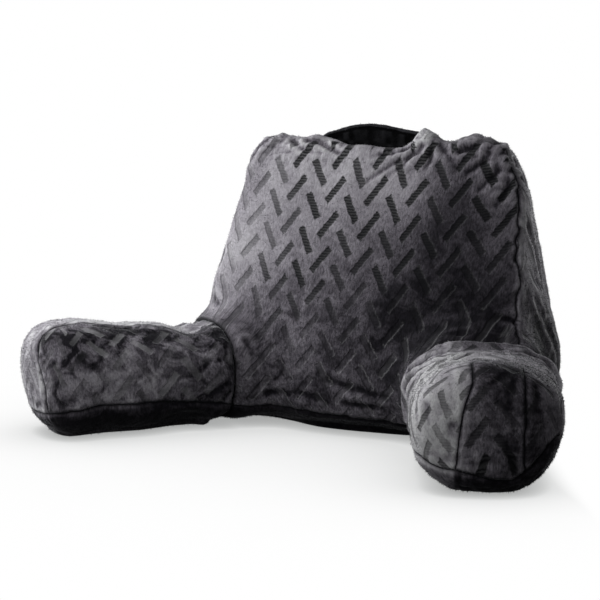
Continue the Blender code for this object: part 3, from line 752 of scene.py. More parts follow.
def table_push(points, puffs, crumples, seed):
    """How far the fuller, the drawn-in and the crumpled places move each point."""
    push = np.zeros(len(points))
    for x, y, z, radius, height in puffs:
        push += height * near_place(points, x, y, z, radius)
    for number, (x, y, z, radius, height, span) in enumerate(crumples):
        near = near_place(points, x, y, z, radius)
        crease = np.abs(cloudy(points, span, seed + number)) + FINE_CREASE * np.abs(
            cloudy(points, 0.5 * span, seed + number + 9))
        push += height * near * (crease - CREASE_LEVEL)
    return push


# ---- Panels and cloth coordinates -----------------------------------------------------------
def table_column(column, height):
    """Read the gusset's table at a height."""
    return np.interp(height, BACKREST_ROWS[:, 0], BACKREST_ROWS[:, column])


def front_seam(points):
    """Signed distance from the backrest's front seam: below 0 on the front panel."""
    height = points[:, 2]
    across = np.abs(points[:, 0]) / table_column(1, height)
    upright = np.abs(2.0 * (height - BASE_SEAM) / (TOP_LEVEL - BASE_SEAM) - 1.0)
    reach = (across ** CORNER_POWER + upright ** CORNER_POWER) ** (1.0 / CORNER_POWER)
    inside = np.maximum((reach - 1.0) * PANEL_HALF, -PANEL_SHARE)
    return inside + points[:, 1] - table_column(3, height)


def back_seam(points):
    """Signed distance from the backrest's back seam: below 0 on the back panel."""
    height = points[:, 2]
    across = np.abs(points[:, 0]) / table_column(2, height)
    upright = np.abs(2.0 * (height - BASE_SEAM) / (TOP_LEVEL - BACK_FALL - BASE_SEAM) - 1.0)
    reach = (across ** CORNER_POWER + upright ** CORNER_POWER) ** (1.0 / CORNER_POWER)
    inside = np.maximum((reach - 1.0) * PANEL_HALF, -PANEL_SHARE)
    return inside + table_column(4, height) - points[:, 1]


def base_seam(points):
    """Signed distance from the seam above the base: below 0 on the base."""
    x, y, z = points.T
    return z - BASE_SEAM + np.interp(x, *SEAM_DROP) * (1.0 - ramp(y, *DROP_FADE))


def arm_matrix(side):
    """The frame of one arm in the sewing frame. side is -1 left, +1 right."""
    turn = -math.pi / 2.0 + side * ARM_SPLAY
    place = Matrix.Translation((side * ARM_JOINT[0], ARM_JOINT[1], 0.0))
    return place @ Matrix.Rotation(turn, 4, "Z")


def arm_frame(points, side):
    """Points in an arm's own frame: along, towards the lap, up."""
    turn = np.array(arm_matrix(side).inverted())
    local = points @ turn[:3, :3].T + turn[:3, 3]
    local[:, 1] *= -side
    return local


def backrest_cloth(points):
    """(panel number, cloth coordinates on each panel) of points of the backrest.

    The panels are front, gusset, back and base, each cut from its own place in the cloth.
    """
    x, y, z = points.T
    front, back = front_seam(points), back_seam(points)
    panel = np.select([base_seam(points) < 0.0, front < 0.0, back < 0.0], [3, 0, 2], 1)
    around = np.where(x < 0.0, x + 0.25 + z, x + 0.25 + 2.0 * TOP_LEVEL - z)
    maps = (
        np.stack([x, 1.10 * (z - 0.5 * y)], axis=1),
        np.stack([y + 0.31, around + 0.4], axis=1),
        np.stack([0.7 - x, z], axis=1),
        np.stack([x + 2.0, y], axis=1),
    )
    return panel, np.stack(maps)


def arm_base_seam(local, side):
    """Signed distance from the seam above an arm's base: below 0 on the base."""
    along, lap, z = local.T
    front = ramp(along, NOSE_START, NOSE_END - 0.02)
    height = np.interp(along, *SIDE_SEAM) * (1.0 - front) + np.interp(lap, *END_SEAM[side]) * front
    return z - height


def strip_seam(local, side):
    """Signed distance from the strip's two seams: below 0 on the strip."""
    _, lap, z = local.T
    half = np.where(lap > 0.0, np.interp(z, *STRIP_LAP[side]), STRIP_OUTER)
    return np.abs(lap) - half


def arm_cloth(local, side):
    """(panel number, cloth coordinates on each panel) of points in an arm's own frame.

    The panels are lap side, strip, outer side and base.
    """
    along, lap, z = local.T
    inward = np.abs(lap)
    on_front = ramp(along, NOSE_START, NOSE_END)
    on_top = ramp(z, 0.100, 0.165)
    below = arm_base_seam(local, side) < 0.0
    panel = np.select([below, strip_seam(local, side) < 0.0, lap > 0.0], [3, 1, 0], 2)
    side_u = along + (ARM_HALF - inward) * on_front
    side_v = z + 0.8 * (ARM_HALF - inward) * on_top * (1.0 - on_front)
    maps = (
        np.stack([side_u + 0.019, side_v + 0.012], axis=1),
        np.stack([lap + 0.52, along + (ARM_TOP - z) * on_front + 0.3], axis=1),
        np.stack([side_u + 0.9, side_v + 0.2], axis=1),
        np.stack([along + 2.0, lap], axis=1),
    )
    return panel, np.stack(maps)


def nap_with_painted_light(points, table, base, turned, seed):
    """How light the nap looks, from 0 stroked down to 1 brushed up, with painted light and shade
    worked in.
    """
    nap = NAP_LEVEL
    for number, (share, span) in enumerate(NAP_CLOUDS):
        nap = nap + share * cloudy(points, span, seed + number)
    nap += turned
    for x, y, z, radius, lighter in table:
        nap += lighter * near_place(points, x, y, z, radius)
    # Painted shade on the base.
    nap -= BASE_PAINTED_SHADE * ramp(-base, *PAINTED_SHADE_AT_BASE)
    return np.clip(nap, 0.0, 1.5)


def pressed_share(cloth, cover):
    """1 inside a pressed dash and 0 outside, at cloth coordinates."""
    column = np.floor(cloth[:, 0] / cover.column_pitch)
    across = cloth[:, 0] - (column + 0.5) * cover.column_pitch
    odd = np.mod(column, 2.0)
    row = cloth[:, 1] / cover.row_pitch + 0.5 * odd
    upward = (row - np.floor(row) - 0.5) * cover.row_pitch
    way = 1.0 - 2.0 * odd
    sine, cosine = math.sin(cover.dash_lean), math.cos(cover.dash_lean)
    along = np.abs(way * across * sine + upward * cosine) - cover.dash_length / 2.0
    beside = np.abs(across * cosine - way * upward * sine) - cover.dash_width / 2.0
    return 1.0 - ramp(np.maximum(along, beside), -PRESS_SOFTNESS, PRESS_SOFTNESS)


def painted_relief_shade(push, edges):
    """Painted shade in the hollows of a relief, and worn nap with a painted highlight on its
    ridges.
    """
    fine = (push - eased(push[:, None], edges, RELIEF_PASSES)[:, 0]) / RELIEF_STEP
    return RIDGE_WEAR_AND_HIGHLIGHT * np.clip(fine, 0.0, 1.0) - HOLLOW_PAINTED_SHADE * np.clip(-fine, 0.0, 1.0)


def seam_push(distance, depth, puckers):
    """The groove of a seam, the cloth's swell on both sides of it and its small gathers."""
    size = np.abs(distance)
    push = SWELL_HEIGHT * bell(size - SWELL_PLACE, SWELL_WIDTH)
    push -= depth * bell(distance, THREAD_WIDTH)
    gather = GATHER_HEIGHT * clouded(puckers, GATHERS) * bell(distance, GATHER_WIDTH)
    return push + gather * ramp(size, 0.0, GATHER_START)


def on_seam(points, seam):
    """Each point moved to its nearest place on a seam's surface."""
    step = 1e-4
    value = seam(points)
    slope = np.stack([(seam(points + step * axis) - value) / step for axis in np.eye(3)], axis=1)
    size = np.maximum((slope ** 2).sum(axis=1), 0.2)
    return points - slope * (value / size)[:, None]


def store_points(mesh, **named):
    """Store named numbers, one for each point."""
    for name, values in named.items():
        stored = mesh.attributes.new(name, "FLOAT", "POINT")
        stored.data.foreach_set("value", values.astype(np.float32))


def store_cloth(mesh, panel_of, maps):
    """Store the cloth coordinates of each face's own panel as the UV map."""
    corners = np.empty(len(mesh.loops), dtype=np.int32)
    mesh.loops.foreach_get("vertex_index", corners)
    totals = np.empty(len(mesh.polygons), dtype=np.int32)
    mesh.polygons.foreach_get("loop_total", totals)
    centres = np.empty(len(mesh.polygons) * 3, dtype=np.float32)
    mesh.polygons.foreach_get("center", centres)
    panels = np.repeat(panel_of(centres.reshape(-1, 3).astype(float)), totals)
    cloth = mesh.uv_layers.new(name="cloth")
    cloth.data.foreach_set("uv", maps[panels, corners].astype(np.float32).ravel())


def give_finish(mesh, material):
    """Smooth shading and a finish."""
    mesh.polygons.foreach_set("use_smooth", np.ones(len(mesh.polygons), dtype=bool))
    mesh.materials.clear()
    mesh.materials.append(bpy.data.materials[material])


def finish_cover(piece, node):
    """The finish of a cover and its place in the pillow."""
    give_finish(piece.data, "charcoal plush")
    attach(piece, "root")
    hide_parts(node)


# ---- Covers ---------------------------------------------------------------------------------
def dress_backrest(cover):
    """The backrest's cover with its seams, folds and pressed dashes."""
    piece = skinned_node("backrest", "backrest_cover", cover.backrest_grid)
    soften_facets(piece, BACKREST_PASSES)
    mesh = piece.data
    edges = mesh_edges(mesh)
    rest = mesh_points(mesh)
    normals = point_normals(mesh)
    points = rest - SEWING_SHIFT
    x, y, z = points.T
    joints = np.stack([-arm_frame(points, side)[:, 0] for side in (-1, 1)])
    beside = np.stack([np.abs(arm_frame(points, side)[:, 1]) for side in (-1, 1)])
    joint = np.where(beside < ROOT_REACH, np.abs(joints), NO_SEAM).min(axis=0)
    front, back, base = front_seam(points), back_seam(points), base_seam(points)
    sway = clouded(points, BACKREST_SWAY)
    front, back, base = front + sway, back + sway, base + BASE_SWAY_SHARE * sway

    push = clouded(points, BACKREST_LUMPS)
    push += (BACKREST_FOLD_SHARE * fold_push(points, BACKREST_FOLDS)
             + fold_push(points, BACKREST_RIDGES))
    push += table_push(points, BACKREST_PUFFS, BACKREST_CRUMPLES, 20)
    push += GROOVE_FILL * bell(z - BASE_SEAM, GROOVE_WIDTH)
    push -= FRONT_TUCK * bell(z - TUCK_HEIGHT, TUCK_RISE) * bell(x, TUCK_WIDTH) * (y < 0)
    worn = 1.0 - ramp(z, *WORN_TOP)
    above = ramp(base, *SEAMS_AT_BASE) * worn
    clear = ramp(joint, *BACKREST_SEAMS_AT_JOINT)
    deeper = 1.0 + ramp(x, *DEEPER_RIGHT)
    depth = cover.seam_depth
    push += seam_push(front, depth, on_seam(points, front_seam)) * above * clear * deeper
    push += seam_push(back, depth, on_seam(points, back_seam)) * above * clear
    push += seam_push(base, depth, on_seam(points, base_seam)) * clear
    relief = painted_relief_shade(push, edges)
    panel, maps = backrest_cloth(points)
    pressed = pressed_share(maps[panel, np.arange(len(points))], cover)
    pressed *= ramp(base, *PRESSED_AT_BASE)
    push -= cover.press_depth * pressed * ramp(joint, *PRESSED_AT_JOINT)
    push *= ramp(joint, *AT_JOINT) * ramp(z, *AT_FLOOR)
    moved = rest + normals * push[:, None]
    set_mesh_points(mesh, keep_clear(eased(moved, edges, 1), (-1, 1), -1.0))
    store_points(mesh, face_seam=np.where(worn < 0.5, NO_SEAM, front), back_seam=back,
                 base_seam=base, joint_seam=joint, pressed=pressed)

    gusset = panel == 1
    # Painted light where the backrest faces right, painted shade where the gusset faces left, and
    # the gusset's own nap patches.
    turned = RIGHT_PAINTED_LIGHT * ramp(normals[:, 0], *FACING_RIGHT) * ramp(z, *RIGHT_HEIGHT)
    turned -= LEFT_PAINTED_SHADE * ramp(-normals[:, 0], *FACING_LEFT) * gusset
    turned += gusset * clouded(points, GUSSET_PATCHES)
    nap = nap_with_painted_light(points, BACKREST_NAP_AND_PAINTED_LIGHT, base, turned, 12)
    crush = BACKREST_CRUSHED + sum(more * near_place(points, *place, radius)
                                   for *place, radius, more in BACKREST_CRUSH)
    crush += gusset * np.where(x > 0.0, GUSSET_CRUSHED[1], GUSSET_CRUSHED[-1])
    show = SHOW_LEAST + SHOW_MORE * ramp(z - SHOW_SLOPE * x, *SHOW_HEIGHT)
    show *= partly(SHOW_AT_LEFT, x, *SHOW_FROM_LEFT)
    show *= np.where(gusset, GUSSET_SHOW, 1.0)
    show *= BACKREST_SHOW_LEVEL + clouded(points, BACKREST_SHOW_CLOUDS)
    # The stored nap carries painted light and shade, the relief's painted highlight and shade
    # included.
    store_points(mesh, nap=nap + relief * (RELIEF_IN_DARK + nap),
                 crush=crush * partly(CRUSHED_ON_BASE, base, *CRUSH_AT_BASE), show=show)
    store_cloth(mesh, lambda centres: backrest_cloth(centres - SEWING_SHIFT)[0], maps)
    finish_cover(piece, "backrest")


def keep_clear(points, sides, way):
    """Keep points on their own side of the joints and above the floor."""
    for side in sides:
        matrix = np.array(arm_matrix(side))
        outward = matrix[:3, 0]
        place = (points - SEWING_SHIFT - matrix[:3, 3]) @ outward
        lap = np.abs(arm_frame(points - SEWING_SHIFT, side)[:, 1])
        if way < 0.0:
            over = np.where(lap < CLEAR_REACH, np.maximum(place + BACKREST_CLEAR, 0.0), 0.0)
        else:
            over = np.minimum(place - PIECE_GAP, 0.0)
        points = points - over[:, None] * outward
    points[:, 2] = np.maximum(points[:, 2], 0.0)
    return points


def dress_arm(side, cover):
    """One arm's cover: side panels, the strip over its top and front end, and its base."""
    node = "arm_left" if side < 0 else "arm_right"
    piece = skinned_node(node, node + "_cover", cover.arm_grid)
    soften_facets(piece, ARM_PASSES)
    mesh = piece.data
    edges = mesh_edges(mesh)
    rest = mesh_points(mesh)
    normals = point_normals(mesh)
    local = arm_frame(rest - SEWING_SHIFT, side)
    along, lap, up = local.T
    joint = np.abs(along)
    sway = clouded(local, ARM_SWAY)
    strip = strip_seam(local, side) + sway
    base = arm_base_seam(local, side) + ARM_BASE_SWAY_SHARE * sway

    push = clouded(rest, ARM_LUMPS[side])
    push += fold_push(local, ARM_FOLDS[side])
    push += table_push(local, ARM_PUFFS[side], ARM_CRUMPLES[side], 40 + 10 * side)
    groove = ramp(up - ARM_GROOVE, -0.008, 0.008)
    push += GROOVE_FILL * bell(np.abs(lap) - STRIP_GROOVE, GROOVE_WIDTH) * groove
    push += GROOVE_FILL * bell(up - ARM_GROOVE, GROOVE_WIDTH)
    worn = (side > 0) & (along < WORN_STRIP[0]) & (up > WORN_STRIP[1])
    push -= ARM_TUCK * bell(up - TUCK_HEIGHT, ARM_TUCK_RISE) * (side < 0)
    above = ramp(base, *SEAMS_AT_BASE) * partly(STRIP_SEAM_LEAST, along, *STRIP_SEAM_RISE)
    above *= 1 - worn
    clear = ramp(joint, *ARM_SEAMS_AT_JOINT)
    strip_gathers = local.copy()
    strip_gathers[:, 1] -= np.sign(lap) * strip
    base_gathers = local.copy()
    base_gathers[:, 2] -= base
    push += seam_push(strip, cover.seam_depth, strip_gathers) * above * clear
    push += seam_push(base, cover.seam_depth, base_gathers) * clear
    relief = painted_relief_shade(push, edges)
    panel, maps = arm_cloth(local, side)
    pressed = pressed_share(maps[panel, np.arange(len(local))], cover)
    pressed *= ramp(base, *PRESSED_AT_BASE)
    push -= cover.press_depth * pressed * ramp(joint, *PRESSED_AT_JOINT)
    push *= ramp(joint, *AT_JOINT) * ramp(up, *AT_FLOOR)
    moved = rest + normals * push[:, None]
    set_mesh_points(mesh, keep_clear(eased(moved, edges, 1), (side,), 1.0))
    store_points(mesh, face_seam=np.where(worn, NO_SEAM, strip),
                 back_seam=np.full(len(local), NO_SEAM), base_seam=base, joint_seam=joint,
                 pressed=pressed)

    # The panels' nap, partly painted light, with painted light on the right arm's front end and
    # painted shade on the left arm's upper side panels.
    inner, on_strip, outer = PANEL_NAP_AND_PAINTED_LIGHT[side]
    beside = np.where(lap > 0.0, inner, outer)
    turned = on_strip + (beside - on_strip) * ramp(strip, *STRIP_EDGE)
    turned += END_PAINTED_LIGHT * ramp(normals[:, 0], *FACING_END) * (side > 0)
    turned -= UPPER_PAINTED_SHADE * ramp(up, *UPPER_HEIGHT) * (strip > 0.0) * (side < 0)
    nap = nap_with_painted_light(local, ARM_NAP_AND_PAINTED_LIGHT[side], base, turned, 15 + side)
    crush = ARM_CRUSHED[side] + clouded(local, ARM_CRUSH_CLOUDS)
    on_top = ramp(up, *ARM_TOP_HEIGHT) * (1.0 - ramp(along, *ARM_TOP_END))
    crush *= 1.0 - CRUSHED_OFF_TOP * on_top * (side > 0)
    crush *= 1.0 - CRUSHED_OFF_OUTER * ((strip > 0.0) & (lap < 0.0))
    show = ARM_SHOW[side] + clouded(local, ARM_SHOW_CLOUDS)
    show *= 1.0 - PANEL_SHOW_LOSS * (strip > 0.0) * (side > 0)
    show -= STRIP_SHOW_LOSS * (side < 0) * (strip < 0.0)
    # The stored nap carries painted light and shade, the relief's painted highlight and shade
    # included.
    store_points(mesh, nap=nap + relief * (RELIEF_IN_DARK + nap),
                 crush=crush * partly(CRUSHED_ON_BASE, base, *CRUSH_AT_BASE), show=show)
    store_cloth(mesh, lambda centres: arm_cloth(arm_frame(centres - SEWING_SHIFT, side), side)[0],
                maps)
    finish_cover(piece, node)


def dress_strap(strap):
    """The carrying strap: two layers of plush, with a stitched hem below its top edge."""
    piece = skinned_node("handle", "strap_band", strap.grid)
    soften_facets(piece, STRAP_PASSES)
    mesh = piece.data
    edges = mesh_edges(mesh)
    rest = mesh_points(mesh)
    across, _, up = rest.T
    left = across.min()
    push = clouded(rest * STRAP_DRAWN, STRAP_WAVES) + clouded(rest, STRAP_LUMPS)
    slice_of = ((across - left) / STRAP_SLICE).astype(int)
    tops = np.zeros(slice_of.max() + 1)
    np.maximum.at(tops, slice_of, up)
    from_top = eased((tops[slice_of] - up)[:, None], edges, 3)[:, 0]
    hem = bell(from_top - STRAP_HEM, HEM_WIDTH)
    push -= HEM_DEPTH * hem
    moved = eased(rest + point_normals(mesh) * push[:, None], edges, 1)
    middle = bell(across - STRAP_MIDDLE, STRAP_SAG_WIDTH)
    lower = 1.0 - ramp(up, *(STRAP_LOW + height for height in STRAP_SAG_HEIGHT))
    moved[:, 2] -= strap.sag * middle * lower
    set_mesh_points(mesh, moved)
    give_finish(mesh, "black strap plush")
    at_left = bell(across - left, STRAP_LEFT_WIDTH)
    at_right = ramp(across - STRAP_MIDDLE, 0.0, STRAP_RIGHT_WIDTH)
    # Painted highlights along the top hem and at both ends; the hem's thread is dark.
    nap = STRAP_HEM_PAINTED_HIGHLIGHT * (1.0 - ramp(from_top, 0.5 * STRAP_HEM, STRAP_HEM))
    nap += STRAP_LEFT_PAINTED_HIGHLIGHT * at_left * (0.6 + cloudy(rest, 0.010, 11))
    nap += STRAP_RIGHT_PAINTED_HIGHLIGHT * at_right * (0.5 + cloudy(rest, 0.012, 10))
    nap -= STRAP_THREAD_DARK * hem
    store_points(mesh, pressed=0.0 * nap, joint_seam=NO_SEAM + 0.0 * nap, nap=nap)
    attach(piece, "root")
    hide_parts("handle")


# ---- Node helpers ---------------------------------------------------------------------------
# The grid that the nodes of a tree are laid out on.
NODE_WIDTH = 190.0
NODE_HEIGHT = 170.0


def join(tree, made, links):
    """Join a node's inputs to sockets or give them values."""
    for socket, value in links.items():
        if isinstance(value, bpy.types.NodeSocket):
            tree.links.new(value, made.inputs[socket])
        else:
            made.inputs[socket].default_value = value


def add(tree, kind, name, place, links=(), **settings):
    """Add a node, set it up and join its inputs to sockets or values."""
    made = tree.nodes.new(kind)
    made.name = made.label = name
    made.location = (place[0] * NODE_WIDTH, -place[1] * NODE_HEIGHT)
    for key, value in settings.items():
        setattr(made, key, value)
    join(tree, made, dict(links))
    return made


def maths(tree, operation, name, place, *values):
    """Add a Math node and return its result."""
    made = add(tree, "ShaderNodeMath", name, place, dict(enumerate(values)), operation=operation)
    return made.outputs[0]


def blended(tree, name, place, share, low, high, blend="MIX"):
    """Mix two colours and return the result."""
    made = add(tree, "ShaderNodeMix", name, place, {0: share, 6: low, 7: high},
               data_type="RGBA", blend_type=blend)
    return made.outputs[2]


def ranged(tree, name, place, value, limits, smooth=True):
    """Map a value from one range to another: (from low, from high, to low, to high)."""
    made = add(tree, "ShaderNodeMapRange", name, place,
               {0: value, 1: limits[0], 2: limits[1], 3: limits[2], 4: limits[3]},
               interpolation_type="SMOOTHSTEP" if smooth else "LINEAR")
    return made.outputs[0]


def shader_group(name, inputs, outputs):
    """A new shader node group with its named sockets."""
    tree = bpy.data.node_groups.new(name, "ShaderNodeTree")
    for label, kind, default in inputs:
        socket = tree.interface.new_socket(label, in_out="INPUT", socket_type=kind)
        if default is not None:
            socket.default_value = default
    for label, kind in outputs:
        tree.interface.new_socket(label, in_out="OUTPUT", socket_type=kind)
    given = tree.nodes.new("NodeGroupInput")
    given.location = (-600, 0)
    result = tree.nodes.new("NodeGroupOutput")
    result.location = (2600, 0)
    return tree, given.outputs, result.inputs


def build_dash_group(cover):
    """Pressed dashes that lean one way and the other from column to column, and never touch, with
    a painted highlight along one side of each rim and a painted shadow along the other.
    """
    tree, given, result = shader_group(
        "pressed dashes",
        (("Cloth", "NodeSocketVector", None),
         ("Column pitch", "NodeSocketFloat", cover.column_pitch),
         ("Row pitch", "NodeSocketFloat", cover.row_pitch),
         ("Length", "NodeSocketFloat", cover.dash_length),
         ("Width", "NodeSocketFloat", cover.dash_width),
         ("Lean", "NodeSocketFloat", cover.dash_lean),
         ("Softness", "NodeSocketFloat", 0.0011)),
        (("Pressed", "NodeSocketFloat"), ("Rim", "NodeSocketFloat"),
         ("Chance", "NodeSocketFloat"), ("Lit edge", "NodeSocketFloat"),
         ("Dark edge", "NodeSocketFloat")))
    split = add(tree, "ShaderNodeSeparateXYZ", "across and up", (-2, 0),
                {0: given["Cloth"]}).outputs
    fray = add(tree, "ShaderNodeTexNoise", "frayed rim", (-2, 2),
               {"Vector": given["Cloth"], "Scale": 150.0, "Detail": 3.0, "Roughness": 0.80})
    column = maths(tree, "DIVIDE", "columns", (-1, 0), split[0], given["Column pitch"])
    number = maths(tree, "FLOOR", "column number", (0, 0), column)
    middle = maths(tree, "ADD", "column middle", (1, 0), number, 0.5)
    offset = maths(tree, "SUBTRACT", "off middle", (2, 0), column, middle)
    across = maths(tree, "MULTIPLY", "across", (3, 0), offset, given["Column pitch"])
    odd = maths(tree, "FLOORED_MODULO", "odd column", (1, 1), number, 2.0)
    rows = maths(tree, "DIVIDE", "rows", (-1, 1), split[1], given["Row pitch"])
    row = maths(tree, "MULTIPLY_ADD", "staggered rows", (2, 1), odd, 0.5, rows)
    cell = add(tree, "ShaderNodeCombineXYZ", "dash number", (4, 7),
               {0: number, 1: maths(tree, "FLOOR", "row number", (3, 7), row)})
    chance = add(tree, "ShaderNodeTexWhiteNoise", "dash chance", (5, 7),
                 {"Vector": cell.outputs[0]}, noise_dimensions="2D").outputs[0]
    part = maths(tree, "FRACT", "part of row", (3, 1), row)
    part = maths(tree, "SUBTRACT", "off row middle", (4, 1), part, 0.5)
    upward = maths(tree, "MULTIPLY", "upward", (5, 1), part, given["Row pitch"])
    way = maths(tree, "MULTIPLY_ADD", "way of lean", (2, 2), odd, -2.0, 1.0)
    sine = maths(tree, "SINE", "sine", (3, 3), given["Lean"])
    sine = maths(tree, "MULTIPLY", "signed sine", (4, 3), sine, way)
    cosine = maths(tree, "COSINE", "cosine", (3, 4), given["Lean"])
    along = maths(tree, "MULTIPLY", "along a", (6, 0), across, sine)
    along = maths(tree, "MULTIPLY_ADD", "along", (7, 0), upward, cosine, along)
    beside = maths(tree, "MULTIPLY", "beside a", (6, 2), upward, sine)
    beside = maths(tree, "MULTIPLY_ADD", "beside b", (7, 2), across, cosine,
                   maths(tree, "MULTIPLY", "minus", (6, 3), beside, -1.0))
    half_length = maths(tree, "MULTIPLY", "half length", (6, 4), given["Length"], 0.5)
    half_width = maths(tree, "MULTIPLY", "half width", (6, 5), given["Width"], 0.5)
    end = maths(tree, "SUBTRACT", "past end", (8, 0),
                maths(tree, "ABSOLUTE", "along size", (8, 1), along), half_length)
    edge = maths(tree, "SUBTRACT", "past edge", (8, 2),
                 maths(tree, "ABSOLUTE", "beside size", (8, 3), beside), half_width)
    outside = maths(tree, "MAXIMUM", "outside", (9, 0), end, edge)
    outside = maths(tree, "MULTIPLY_ADD", "frayed", (10, 0), fray.outputs[0], 0.0078, outside)
    outside = maths(tree, "SUBTRACT", "centred fray", (11, 0), outside, 0.0041)
    soft = maths(tree, "MULTIPLY", "inner limit", (10, 2), given["Softness"], -1.0)
    pressed = ranged(tree, "pressed", (12, 0), outside, (soft, given["Softness"], 1.0, 0.0))
    rim = maths(tree, "ABSOLUTE", "from rim", (12, 2), outside)
    rim = ranged(tree, "rim", (13, 2), rim, (0.0, 0.0024, 1.0, 0.0))
    # Painted highlight along one side of each rim and painted shadow along the other, as if lit
    # from one side.
    leaning = ranged(tree, "side of dash", (12, 4), beside, (-0.002, 0.002, -1.0, 1.0),
                     smooth=False)
    for sign, label in ((1.0, "Lit edge"), (-1.0, "Dark edge")):
        side = maths(tree, "MULTIPLY", label + " side", (14, 4 + sign), leaning, sign)
        side = maths(tree, "MAXIMUM", label + " share", (15, 4 + sign), side, 0.0)
        side = maths(tree, "MULTIPLY", label, (16, 4 + sign), side, rim)
        tree.links.new(side, result[label])
    for label, value in (("Pressed", pressed), ("Rim", rim), ("Chance", chance)):
        tree.links.new(value, result[label])


def build_nap_group():
    """Brushed nap: large and small patches, upright fibre streaks and single fibres."""
    tree, given, result = shader_group(
        "brushed nap",
        (("Cloth", "NodeSocketVector", None), ("Place", "NodeSocketVector", None)),
        (("Patches", "NodeSocketFloat"), ("Streaks", "NodeSocketFloat"),
         ("Fibres", "NodeSocketFloat"), ("Ribs", "NodeSocketFloat")))
    large = add(tree, "ShaderNodeTexNoise", "large patches", (0, 0),
                {"Vector": given["Place"], "Scale": 13.0, "Detail": 2.5, "Roughness": 0.55,
                 "Distortion": 0.8})
    small = add(tree, "ShaderNodeTexNoise", "small patches", (0, 2),
                {"Vector": given["Place"], "Scale": 40.0, "Detail": 3.0, "Roughness": 0.55,
                 "Distortion": 1.0})
    patches = maths(tree, "MULTIPLY_ADD", "patches", (1, 0), small.outputs[0], 0.62,
                    maths(tree, "MULTIPLY", "large share", (1, 1), large.outputs[0], 0.58))
    patches = ranged(tree, "patch contrast", (2, 0), patches, (0.46, 0.74, 0.0, 1.0))
    stretch = add(tree, "ShaderNodeMapping", "streak stretch", (0, 4),
                  {"Vector": given["Cloth"], "Scale": (1.0, 0.42, 1.0)})
    streaks = add(tree, "ShaderNodeTexNoise", "streaks", (1, 4),
                  {"Vector": stretch.outputs[0], "Scale": 360.0, "Detail": 3.0, "Roughness": 0.7})
    streaks = ranged(tree, "streak contrast", (2, 4), streaks.outputs[0], (0.30, 0.70, 0.0, 1.0))
    stretch = add(tree, "ShaderNodeMapping", "fibre stretch", (0, 6),
                  {"Vector": given["Cloth"], "Scale": (1.0, 0.35, 1.0)})
    fibres = add(tree, "ShaderNodeTexNoise", "fibres", (1, 6),
                 {"Vector": stretch.outputs[0], "Scale": 1700.0, "Detail": 1.0})
    ribs = add(tree, "ShaderNodeTexWave", "ribs", (1, 8),
               {"Vector": given["Cloth"], "Scale": 82.0, "Distortion": 3.0, "Detail": 2.0,
                "Detail Scale": 3.0}, bands_direction="Y")
    for label, value in (("Patches", patches), ("Streaks", streaks),
                         ("Fibres", fibres.outputs[0]), ("Ribs", ribs.outputs[1])):
        tree.links.new(value, result[label])


def build_seam_group():
    """Thin dark lines where panels meet and painted shade beside them, read from the distances
    stored on the cover.
    """
    tree, given, result = shader_group(
        "sewn seams", (("Line width", "NodeSocketFloat", 0.0011),
                       ("Shade width", "NodeSocketFloat", 0.0050)),
        (("Line", "NodeSocketFloat"), ("Shade", "NodeSocketFloat"),
         ("On base", "NodeSocketFloat")))
    sizes = {}
    for row, label in enumerate(("face_seam", "back_seam", "base_seam", "joint_seam")):
        stored = add(tree, "ShaderNodeAttribute", label, (-1, row), attribute_name=label)
        sizes[label] = (stored.outputs["Fac"],
                        maths(tree, "ABSOLUTE", label + " size", (0, row), stored.outputs["Fac"]))
    upper = maths(tree, "MINIMUM", "face or back", (1, 0), sizes["face_seam"][1],
                  sizes["back_seam"][1])
    below = ranged(tree, "below base seam", (1, 2), sizes["base_seam"][0], (0.0, 0.002, 1.0, 0.0))
    upper = maths(tree, "ADD", "upper seams", (2, 0), upper, below)
    nearest = maths(tree, "MINIMUM", "nearest sewn", (3, 0), upper, sizes["base_seam"][1])
    # At a joint the line and its painted shade reach further out.
    joint = maths(tree, "MULTIPLY", "joint is deeper", (3, 2), sizes["joint_seam"][1], 0.45)
    nearest = maths(tree, "MINIMUM", "nearest", (4, 0), nearest, joint)
    line = ranged(tree, "line", (5, 0), nearest, (given["Line width"], 0.0002, 0.0, 1.0))
    shade = ranged(tree, "shade", (5, 2), nearest, (given["Shade width"], 0.0, 0.0, 1.0))
    for label, value in (("Line", line), ("Shade", shade), ("On base", below)):
        tree.links.new(value, result[label])


def grouped(tree, group, name, place, links):
    """Place a node group in a tree."""
    made = tree.nodes.new("ShaderNodeGroup")
    made.node_tree = bpy.data.node_groups[group]
    made.name = made.label = name
    made.location = (place[0] * NODE_WIDTH, -place[1] * NODE_HEIGHT)
    join(tree, made, links)
    return made.outputs


def new_material(name):
    """A new node material, its shader and its tree."""
    material = bpy.data.materials.new(name)
    material.use_nodes = True
    return material, material.node_tree.nodes["Principled BSDF"], material.node_tree


def opaque(colour):
    """A colour with its alpha."""
    return (*colour, 1.0)


def give_shine(shader, specular, sheen, sheen_roughness):
    """How much a finish shines, and the sheen of its fibres."""
    for label, value in (("Specular IOR Level", specular), ("Sheen Weight", sheen),
                         ("Sheen Roughness", sheen_roughness)):
        shader.inputs[label].default_value = value


